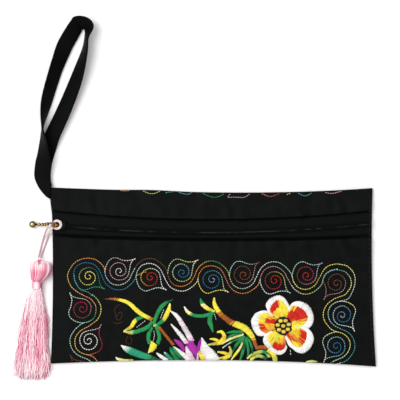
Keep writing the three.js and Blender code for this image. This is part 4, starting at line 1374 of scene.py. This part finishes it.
# Satin bands of the spray: colours along the band, then x, y and width of its middle line
BANDS = [
    ("bark brown yellow yellow yellow yellow yellow yellow brown", [
        (105.3, 299.1, 1.4), (112.7, 298.8, 2.6), (121.5, 300.2, 3.6), (127.3, 302.3, 4.2),
        (131.5, 305.3, 4.6), (135.6, 309.4, 4.8), (140.3, 313.3, 4.8), (145.4, 316.3, 4.8),
        (152.4, 319.6, 4.0)]),
    ("green green green pine", [
        (153.8, 324.6, 2.6), (155.5, 318.2, 4.0), (159.0, 310.5, 4.4), (164.3, 304.1, 4.2),
        (172.8, 299.6, 0.9)]),
    ("green green yellow yellow cream", [
        (156.1, 325.2, 2.6), (160.4, 322.6, 3.8), (164.2, 318.8, 4.8), (167.2, 313.4, 5.0),
        (169.2, 308.2, 4.0), (170.0, 303.6, 1.4)]),
    ("green green yellow yellow cream", [
        (143.0, 317.4, 2.6), (138.2, 318.6, 4.2), (134.2, 322.0, 4.4), (131.0, 326.8, 4.2),
        (123.6, 331.2, 1.4)]),
    ("green green green green lime yellow", [
        (152.4, 321.6, 3.0), (148.8, 326.2, 4.4), (143.2, 329.4, 4.6), (136.2, 331.6, 4.6),
        (130.6, 332.4, 4.2), (123.6, 331.4, 1.2)]),
    ("green", [(152.4, 327.6, 2.8), (149.2, 333.4, 4.2), (148.4, 338.7, 4.4), (149.8, 343.8, 4.0)]),
    ("green", [(155.9, 327.2, 2.8), (158.4, 332.3, 4.2), (159.4, 338.1, 4.4), (157.6, 343.4, 4.0)]),
    ("cream yellow yellow", [
        (148.3, 352.8, 0.9), (150.6, 349.8, 5.4), (152.8, 346.4, 8.4), (153.8, 342.8, 8.6)]),
    ("lime green", [(153.2, 325.6, 2.6), (156.4, 325.4, 3.4), (158.8, 327.2, 2.2)]),
    ("brown", [(158.6, 326.6, 3.2), (166.0, 335.8, 3.4), (173.4, 344.8, 3.2)]),
    ("white white mint teal teal teal teal teal green pine pine", [
        (121.2, 345.4, 0.9), (126.4, 348.6, 6.0), (133.2, 352.0, 8.2), (142.6, 355.5, 7.4),
        (150.2, 357.4, 5.2), (160.6, 360.2, 1.4)]),
    ("white white blush", [
        (156.7, 353.0, 1.0), (160.2, 355.7, 3.6), (164.9, 359.0, 4.2), (169.0, 361.2, 4.0)]),
    ("mint teal teal", [(164.3, 352.3, 1.2), (167.2, 355.1, 3.6), (172.4, 360.4, 4.0)]),
    ("pine green green", [(170.4, 347.2, 2.2), (172.4, 352.4, 4.2), (177.6, 360.4, 5.0)]),
    ("teal green pine", [(173.1, 346.9, 2.0), (177.2, 352.8, 3.8), (184.2, 360.6, 4.8)]),
    ("white cream lime", [
        (116.0, 357.2, 0.9), (118.6, 359.2, 2.8), (126.0, 360.6, 3.6), (133.0, 360.0, 1.4)]),
    ("white white blush blush pink", [
        (170.2, 310.8, 1.0), (176.8, 315.8, 4.4), (182.8, 325.0, 5.6), (188.8, 335.4, 6.2),
        (191.4, 340.8, 6.0)]),
    ("white white white pink", [(171.2, 324.2, 1.2), (179.3, 333.4, 4.4), (186.8, 343.3, 4.6)]),
    ("purple", [(174.4, 339.6, 1.4), (179.6, 343.4, 5.4), (184.6, 350.4, 3.8)]),
    ("purple", [
        (192.4, 339.6, 2.6), (191.4, 342.4, 7.6), (191.4, 345.4, 10.4), (193.2, 349.0, 8.6),
        (195.2, 352.8, 5.8), (196.3, 357.4, 1.2)]),
    ("purple", [(201.1, 339.2, 1.2), (199.9, 343.4, 3.6), (198.4, 348.2, 3.6), (197.5, 352.6, 1.6)]),
    ("blush blush pink", [
        (186.2, 346.4, 1.2), (187.6, 350.4, 4.6), (189.4, 354.6, 7.0), (192.4, 360.6, 8.0)]),
    ("white white blush", [(173.6, 346.6, 1.0), (181.5, 353.0, 4.8), (189.2, 360.6, 6.6)]),
    ("lime yellow gold", [(199.4, 350.8, 2.0), (201.4, 355.4, 5.4), (204.2, 360.8, 6.4)]),
    ("white", [
        (201.8, 337.8, 1.2), (203.8, 343.6, 6.2), (206.6, 350.0, 11.4), (211.4, 356.0, 12.6),
        (214.8, 361.4, 13.6)]),
    ("white cream green green green green", [
        (184.3, 306.6, 1.0), (187.2, 311.2, 3.4), (191.8, 314.5, 3.8), (197.9, 316.0, 3.8),
        (204.8, 315.6, 4.2), (210.9, 313.7, 4.2), (215.5, 311.2, 2.4)]),
    ("green green cream yellow yellow", [
        (200.5, 298.6, 1.0), (201.7, 302.2, 4.0), (203.8, 305.4, 4.8), (208.0, 308.8, 4.4),
        (214.4, 311.2, 2.0)]),
    ("green", [(211.6, 313.4, 3.4), (209.8, 320.4, 5.6), (211.1, 326.0, 4.4), (213.0, 332.0, 0.9)]),
    ("yellow yellow yellow yellow brown brown brown yellow yellow yellow yellow yellow brown brown brown", [
        (214.4, 297.6, 1.2), (214.4, 303.4, 4.2), (217.0, 309.1, 5.2), (220.5, 313.9, 5.6),
        (226.0, 318.6, 6.0), (232.5, 323.0, 6.6), (239.4, 325.4, 7.4), (245.4, 328.8, 7.4),
        (250.0, 333.6, 6.4), (253.2, 338.8, 4.8), (255.3, 344.3, 3.8), (257.2, 349.0, 3.4)]),
    ("brown", [(256.6, 347.8, 3.6), (262.0, 347.0, 4.4), (267.0, 347.8, 4.4)]),
    ("yellow yellow lime", [(268.4, 349.6, 5.0), (273.2, 353.6, 6.4), (275.4, 361.6, 5.0)]),
    ("yellow yellow gold yellow cream", [
        (217.2, 332.2, 1.8), (221.6, 331.7, 3.4), (224.3, 335.9, 4.2), (223.0, 339.9, 5.4),
        (218.6, 342.8, 4.8), (207.6, 344.8, 1.4)]),
    ("yellow yellow gold", [(209.9, 338.9, 1.4), (214.7, 339.3, 3.0), (219.0, 341.3, 3.4)]),
    ("cream", [(221.6, 343.8, 1.8), (230.0, 339.0, 2.8), (243.4, 334.4, 2.4)]),
    ("yellow lime lime", [(229.2, 346.3, 1.4), (231.0, 351.0, 3.4), (229.8, 355.4, 4.4)]),
    ("cream yellow gold", [(217.6, 351.8, 1.4), (223.1, 352.7, 3.2), (228.6, 354.5, 3.8)]),
    ("gold yellow yellow", [(219.6, 357.8, 1.4), (225.2, 357.5, 4.4), (229.8, 355.2, 4.4)]),
    ("green", [(226.8, 332.8, 0.9), (233.6, 331.8, 3.4), (243.0, 332.0, 2.8)]),
    ("pine green pine", [(226.0, 338.8, 0.9), (232.0, 335.3, 2.5), (242.0, 333.4, 2.0)]),
    ("white mint green green green", [
        (222.6, 347.8, 0.9), (230.0, 342.8, 1.5), (238.5, 339.0, 1.8), (244.0, 336.7, 1.6)]),
    ("pine green green", [
        (233.0, 351.6, 1.4), (236.0, 345.3, 3.4), (241.3, 339.9, 3.3), (244.8, 336.5, 2.0)]),
    ("cream yellow cream green", [
        (231.2, 359.8, 0.9), (235.2, 354.5, 2.7), (240.0, 348.1, 2.8), (244.0, 338.8, 2.0)]),
    ("green green pine green", [
        (240.0, 360.2, 1.6), (242.2, 353.5, 3.3), (244.6, 346.6, 3.3), (246.1, 338.6, 2.0)]),
    ("green", [(247.6, 357.6, 1.1), (248.3, 350.4, 2.8), (247.3, 342.8, 2.7), (246.5, 337.2, 1.6)]),
    ("pine green pine", [
        (252.4, 354.0, 1.4), (251.6, 346.6, 2.8), (249.2, 340.3, 2.5), (247.3, 336.5, 1.6)]),
    ("cream lime lime green lime", [
        (247.2, 358.2, 2.0), (252.2, 354.5, 3.4), (259.1, 351.8, 3.8), (265.2, 352.2, 3.6),
        (269.4, 357.0, 3.2)]),
    ("yellow lime pine", [(250.4, 359.8, 2.8), (258.3, 355.6, 3.6), (266.4, 358.8, 3.6)]),
    ("cream lime", [(306.4, 361.6, 0.9), (312.0, 361.2, 2.4), (317.0, 361.6, 0.9)]),
    ("pink blush blush", [
        (200.9, 345.2, 2.0), (202.2, 349.6, 4.8), (204.4, 354.6, 4.4), (206.8, 360.0, 2.6)]),
    ("blush pink", [(197.9, 352.8, 1.2), (197.6, 356.4, 2.4), (197.8, 360.6, 2.8)]),
]

# Flower: its middle and its petals from the top one round to the left one; each has the outline of the
# white border, the line between border and fill, and the colours of the fill's three rows
FILL_ROWS = [(-0.08, 0.46), (0.36, 0.76), (0.66, 1.0)]
FLOWER = Sizes(
    middle=(283.3, 325.9), disc=9.2, dots=7, dot_ring=5.7, dot=3.9, first_dot=-15.5, fill_lift=0.12,
    border_lift=0.2, disc_lift=0.15, dot_lift=0.55, fill_ragged=0.12, border_ragged=0.02,
    border_tuck=0.04, fill_end=0.95)
BAND = Sizes(slant=0.35, share=0.9, step=0.05, ragged=0.03)
PETALS = [
    ([(268.0, 311.4), (265.8, 304.6), (269.9, 298.6), (277.6, 295.2), (283.6, 297.2), (287.6, 302.4),
      (290.6, 308.0)],
     [(270.2, 312.4), (270.4, 308.1), (273.3, 302.9), (277.9, 299.8), (282.5, 300.9), (285.9, 305.2),
      (289.4, 312.0)],
     ("gold red red red yellow yellow yellow gold", "gold gold yellow yellow yellow yellow gold",
      "gold yellow gold yellow gold gold")),
    ([(289.8, 307.4), (291.6, 303.6), (296.0, 301.3), (302.6, 301.8), (308.9, 305.8), (312.9, 312.7),
      (313.8, 319.6), (311.8, 325.3), (308.2, 328.8)],
     [(289.4, 310.6), (291.0, 306.9), (294.4, 305.8), (299.7, 307.2), (304.9, 311.0), (307.5, 315.6),
      (307.2, 320.1), (303.7, 324.7), (298.6, 327.8)],
     ("yellow yellow gold red red red gold yellow cream", "gold red red red red gold yellow cream",
      "red red red red yellow yellow yellow")),
    ([(308.6, 328.6), (312.3, 333.4), (313.8, 339.7), (310.6, 347.7), (304.3, 352.9), (298.0, 352.6),
      (292.8, 349.1), (288.2, 344.8), (284.6, 337.0)],
     [(299.6, 328.9), (304.2, 329.6), (306.9, 333.9), (306.0, 339.7), (303.7, 344.5), (299.1, 347.7),
      (293.4, 344.8), (289.4, 339.7), (286.6, 335.4)],
     ("yellow gold red red red gold yellow gold orange red", "yellow yellow gold gold orange red red red",
      "yellow yellow yellow gold red red red")),
    ([(287.1, 347.6), (284.8, 352.3), (279.6, 354.9), (273.9, 353.4), (268.1, 349.4), (263.5, 343.1),
      (263.2, 338.5), (265.3, 334.5), (270.0, 331.4)],
     [(285.8, 345.2), (283.6, 349.2), (279.6, 350.3), (274.4, 348.9), (269.9, 343.1), (268.1, 338.5),
      (269.3, 333.9), (273.4, 331.8)],
     ("orange red red red yellow yellow yellow yellow", "orange orange gold yellow yellow yellow yellow",
      "orange yellow yellow yellow yellow yellow")),
    ([(264.2, 335.8), (257.8, 335.6), (253.5, 330.5), (251.2, 323.6), (251.8, 318.4), (255.5, 313.3),
      (261.8, 310.7), (267.6, 311.0), (273.0, 315.0)],
     [(265.6, 333.4), (260.7, 330.2), (258.7, 324.7), (258.4, 319.0), (261.2, 314.2), (266.4, 313.0),
      (272.2, 316.2)],
     ("orange orange red red gold yellow yellow yellow yellow gold gold",
      "orange gold gold red orange gold yellow", "orange gold gold red red red gold")),
]


def chart_to_cloth(points):
    """Pixels to millimetres on the cloth, drawn in towards the point below the eye by the cloth's height."""
    flat = (np.asarray(points, dtype=float) - CHART_ZERO) * (CHART_UNIT, -CHART_UNIT)
    height = cloth_height(flat[..., 0], flat[..., 1])[..., None]
    return EYE + (flat - EYE) * (1 - height / EYE_HEIGHT)


def colours_along(names, share, edge=0.5):
    """Thread colours that follow each other evenly: edge 0.5 blends them, a smaller one parts them."""
    table = linear([THREADS[name] for name in names.split()])
    place = np.clip(share, 0, 1) * (len(table) - 1)
    first = np.clip(np.floor(place).astype(int), 0, max(len(table) - 2, 0))
    step = np.clip((place - first - 0.5) / (2 * edge) + 0.5, 0, 1)[..., None]
    return mix(table[first], table[np.minimum(first + 1, len(table) - 1)], step)


class Needle:
    """Gathers stitches and sets them on the cloth as one mesh of small rounded threads."""
    stations = np.array([0.0, 0.12, 0.5, 0.88, 1.0])
    swell = np.array([0.45, 0.9, 1.0, 0.9, 0.45])
    sides = 6
    shades = (0.76, 1.04)
    wobble = 0.07
    pause = 0.12
    sink = 0.1
    hem = 0.05
    thickest = 0.3
    arch = 0.05
    arch_longest = 5.0
    lift_stray = 0.02
    colour_stray = (0.01, 0.3)
    colour_edge = 0.12

    def __init__(self, seed, settings):
        self.rng = np.random.default_rng(seed)
        self.rows = []
        self.line, self.line_stitch = settings.line / MM, settings.line_stitch / MM
        self.floss, self.pitch = settings.satin / MM, settings.satin_pitch / MM

    def stitch(self, start, end, colour, width, lift):
        """Adds stitches from start to end points on the cloth, no two quite the same shade."""
        count = len(start)
        shade = mix(*self.shades, self.rng.random((count, 1)))
        wide = np.broadcast_to(width, count)[:, None]
        high = np.broadcast_to(lift, count)[:, None]
        self.rows.append(np.concatenate([start, end, colour * shade, wide, high], axis=1))

    def running(self, line, names, thin=1.0, long=1.0):
        """Stitches of one length, end to end along a smooth line of the chart, in line thread or a share
        of its thickness and stitch."""
        path = chart_to_cloth(smooth_line(line))
        total = arc_lengths(path)[-1]
        count = max(int(round(total / (long * self.line_stitch))), 1)
        points = walk(path, np.linspace(0, total, count + 1))
        points[1:-1] += self.wobble * self.rng.standard_normal((count - 1, 2))
        start, end = (mix(points[:-1], points[1:], share) for share in (self.pause, 1 - self.pause))
        colour = colours_along(names, (np.arange(count) + 0.5) / count)
        self.stitch(start, end, colour, thin * self.line, 0.0)

    def satin(self, one, other, names, lift, ragged):
        """Stitches side by side from one edge to the other; ragged is the share of their length by which
        their ends stray, and colours stray with them."""
        middle = (one + other) / 2
        reach = max(arc_lengths(one)[-1], arc_lengths(middle)[-1], arc_lengths(other)[-1])
        count = max(int(reach / self.pitch), 2)
        share = (np.arange(count) + 0.5) / count
        start, end = (catmull(edge, share * (len(one) - 1)) for edge in (one, other))
        least, more = self.colour_stray
        tooth = share + (least + more * ragged) * self.rng.standard_normal(count)
        stray = ragged * self.rng.standard_normal((2, count, 1))
        start, end = start + (end - start) * stray[0], end + (end - start) * stray[1]
        lift = lift + self.lift_stray * self.rng.standard_normal(count)
        self.stitch(start, end, colours_along(names, tooth, self.colour_edge), self.floss, lift)

    def hems(self, x):
        """Lowest and highest y of a stitch."""
        return edge_y(BOTTOM_EDGE, x) + self.hem, top_y(x) - self.hem

    def piece(self, name, material):
        """Thread tubes over the cloth, arched between their ends; stitches off the cloth are left out."""
        rows = np.concatenate(self.rows)
        low, high = self.hems(rows[:, 0])
        middle = (rows[:, 1] + rows[:, 3]) / 2
        rows = rows[(middle > low) & (middle < high)]
        start, end = rows[:, None, 0:2], rows[:, None, 2:4]
        flat = mix(start, end, self.stations[:, None])
        y = np.clip(flat[..., 1], *self.hems(flat[..., 0]))
        length = np.linalg.norm(end - start, axis=-1)
        arch = self.sink + self.arch * np.minimum(length, self.arch_longest)
        width = rows[:, 7:8] * self.swell / 2
        rise = np.minimum(width, self.thickest)
        z = cloth_height(flat[..., 0], y) + rows[:, 8:9] + arch * np.sin(np.pi * self.stations) - self.sink
        points = tube_points(joined(flat[..., 0], y, z), width, rise, self.sides)
        colours = np.repeat(rows[:, 4:7], len(self.stations) * self.sides, axis=0)
        faces = tube_faces(len(rows), len(self.stations), self.sides)
        return make_piece(name, points, faces, material, np.clip(colours, 0, 1))


class WRISTLET_OT_border(bpy.types.Operator):
    """Stitches the border of scrolls and the lines that come over the top fold"""
    bl_idname = "wristlet.border"
    bl_label = "Scroll border"

    def execute(self, context):
        needle = Needle(SEEDS.border, context.scene.wristlet_thread)
        for scroll in SCROLLS:
            swirl_names, drop_names = scroll[4:6]
            if swirl_names:
                needle.running(self.placed(scroll, self.swirl()), swirl_names)
                needle.running(self.placed(scroll, DROP), drop_names)
        for column, outer in ((6, True), (7, False)):
            for scroll, line in zip(SCROLLS, self.wave(outer)):
                needle.running(line, scroll[column])
        for names, line in FOLD_LINES:
            needle.running(line, names)
        needle.running(SEAM_LINE, "slate", thin=0.6, long=2.0)
        needle.piece("scroll_border", thread_finish("line_thread"))
        return {"FINISHED"}

    def placed(self, scroll, points):
        """A scroll's own points turned to its heading, mirrored by its side and set at its place."""
        x, y, heading, side = scroll[:4]
        turn = np.radians(heading)
        along, across = np.array(points, dtype=float).T
        across = across * side
        right = along * np.cos(turn) - across * np.sin(turn)
        down = -along * np.sin(turn) - across * np.cos(turn)
        return joined(x + right, y + down)

    def swirl(self):
        """Tip, then a spiral whose radius follows its table from quarter turn to quarter turn."""
        place = np.linspace(0, len(SWIRL_RADII) - 1, FINE.swirl)
        radius = catmull(SWIRL_RADII, place)[:, 0]
        return np.concatenate([SWIRL_TIP, radius[:, None] * circle(place * np.pi / 2)])

    def wave(self, outer):
        """One of the two waves, cut at each scroll: far arc over one scroll, near arc over the next."""
        parts = []
        for number, scroll in enumerate(SCROLLS):
            far = (scroll[3] > 0) == outer
            if number in CORNERS:
                points = np.array(CORNERS[number]["outer" if far else "inner"])
                parts.append(np.array(scroll[:2]) + points * (1.0, -1.0))
            else:
                parts.append(self.placed(scroll, FAR_WAVE if far else NEAR_WAVE))
        line = smooth_line(np.concatenate(parts), FINE.wave)
        ends = np.cumsum([len(part) for part in parts]) * FINE.wave
        starts = np.concatenate([[0], ends[:-1]])
        return [line[start:end + 1] for start, end in zip(starts, ends)]


class WRISTLET_OT_spray(bpy.types.Operator):
    """Fills the flower, leaves, twigs and lotus with satin stitch"""
    bl_idname = "wristlet.spray"
    bl_label = "Flower spray"

    def execute(self, context):
        needle = Needle(SEEDS.spray, context.scene.wristlet_thread)
        for order, (names, rows) in enumerate(BANDS):
            one, other = self.edges(smooth_line(rows, FINE.band))
            needle.satin(one, other, names, BAND.step * (order % 3), BAND.ragged)
        self.flower(needle)
        for names, line in LOOSE_LINES:
            needle.running(line, names, thin=0.7)
        needle.piece("flower_spray", thread_finish("satin_thread"))
        return {"FINISHED"}

    def edges(self, line):
        """Both edges of a band, half its width to either side of the middle line and slanted along it."""
        middle, half = line[:, :2], line[:, 2:] * BAND.share / 2
        ahead = unit(np.gradient(middle, axis=0))
        normal = joined(-ahead[:, 1], ahead[:, 0])
        reach = half * (normal - BAND.slant * ahead)
        return chart_to_cloth(middle + reach), chart_to_cloth(middle - reach)

    def flower(self, needle):
        """Petals in three rows of stitches towards the middle and a white border, disc and knots on top."""
        middle = np.array(FLOWER.middle)
        steps = FINE.petal
        for outline, line, fill in PETALS:
            rim, seam = (catmull(rows, np.linspace(0, len(rows) - 1, steps)) for rows in (outline, line))
            disc = middle + FLOWER.fill_end * FLOWER.disc * unit(seam - middle)
            for names, (far, near) in zip(fill, FILL_ROWS):
                one, other = (chart_to_cloth(mix(seam, disc, share)) for share in (far, near))
                needle.satin(one, other, names, FLOWER.fill_lift, FLOWER.fill_ragged)
            one, other = chart_to_cloth(rim), chart_to_cloth(mix(seam, disc, FLOWER.border_tuck))
            needle.satin(one, other, "white", FLOWER.border_lift, FLOWER.border_ragged)
        half = FLOWER.disc * circle(np.linspace(-0.48 * np.pi, 0.48 * np.pi, steps))
        one, other = chart_to_cloth(middle + half), chart_to_cloth(middle + half * (-1.0, 1.0))
        needle.satin(one, other, "black", FLOWER.disc_lift, 0.0)
        ring = FLOWER.dot_ring * circle(np.radians(FLOWER.first_dot) + around(FLOWER.dots))
        dots = middle + np.concatenate([ring, np.zeros((1, 2))])
        reach = np.array([FLOWER.dot / 2, 0.0])
        one, other = chart_to_cloth(dots - reach), chart_to_cloth(dots + reach)
        straw = np.repeat(linear([THREADS["straw"]]), len(dots), axis=0)
        needle.stitch(one, other, straw, FLOWER.dot * CHART_UNIT, FLOWER.dot_lift)


# Panel and registration


class WRISTLET_PT_panel(bpy.types.Panel):
    """Settings of the wristlet and a button for each of its pieces"""
    bl_label = "Wristlet"
    bl_idname = "WRISTLET_PT_panel"
    bl_space_type = "VIEW_3D"
    bl_region_type = "UI"
    bl_category = "Wristlet"

    def draw(self, context):
        for group in SETTINGS:
            settings = getattr(context.scene, group)
            for name in settings.bl_rna.properties.keys():
                if name not in ("rna_type", "name"):
                    self.layout.prop(settings, name)
        for operator in OPERATORS:
            self.layout.operator(operator.bl_idname)


SETTINGS = {
    "wristlet_pouch": PouchSettings,
    "wristlet_thread": ThreadSettings,
    "wristlet_tassel": TasselSettings,
    "wristlet_stage": StageSettings,
}
OPERATORS = (
    WRISTLET_OT_stage, WRISTLET_OT_cord, WRISTLET_OT_pouch, WRISTLET_OT_zip, WRISTLET_OT_slider,
    WRISTLET_OT_puller, WRISTLET_OT_strap, WRISTLET_OT_tassel, WRISTLET_OT_border, WRISTLET_OT_spray,
)


def register():
    """Registers the settings, which hang on the scene, then the operators and the panel."""
    for group, settings in SETTINGS.items():
        bpy.utils.register_class(settings)
        setattr(bpy.types.Scene, group, PointerProperty(type=settings))
    for cls in (*OPERATORS, WRISTLET_PT_panel):
        bpy.utils.register_class(cls)


def unregister():
    """Takes all of it back in the opposite order."""
    for cls in (WRISTLET_PT_panel, *reversed(OPERATORS)):
        bpy.utils.unregister_class(cls)
    for group, settings in SETTINGS.items():
        delattr(bpy.types.Scene, group)
        bpy.utils.unregister_class(settings)


def main():
    """Registers the add-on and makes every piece."""
    register()
    for operator in OPERATORS:
        space, name = operator.bl_idname.split(".")
        getattr(getattr(bpy.ops, space), name)()


if __name__ == "__main__":
    main()
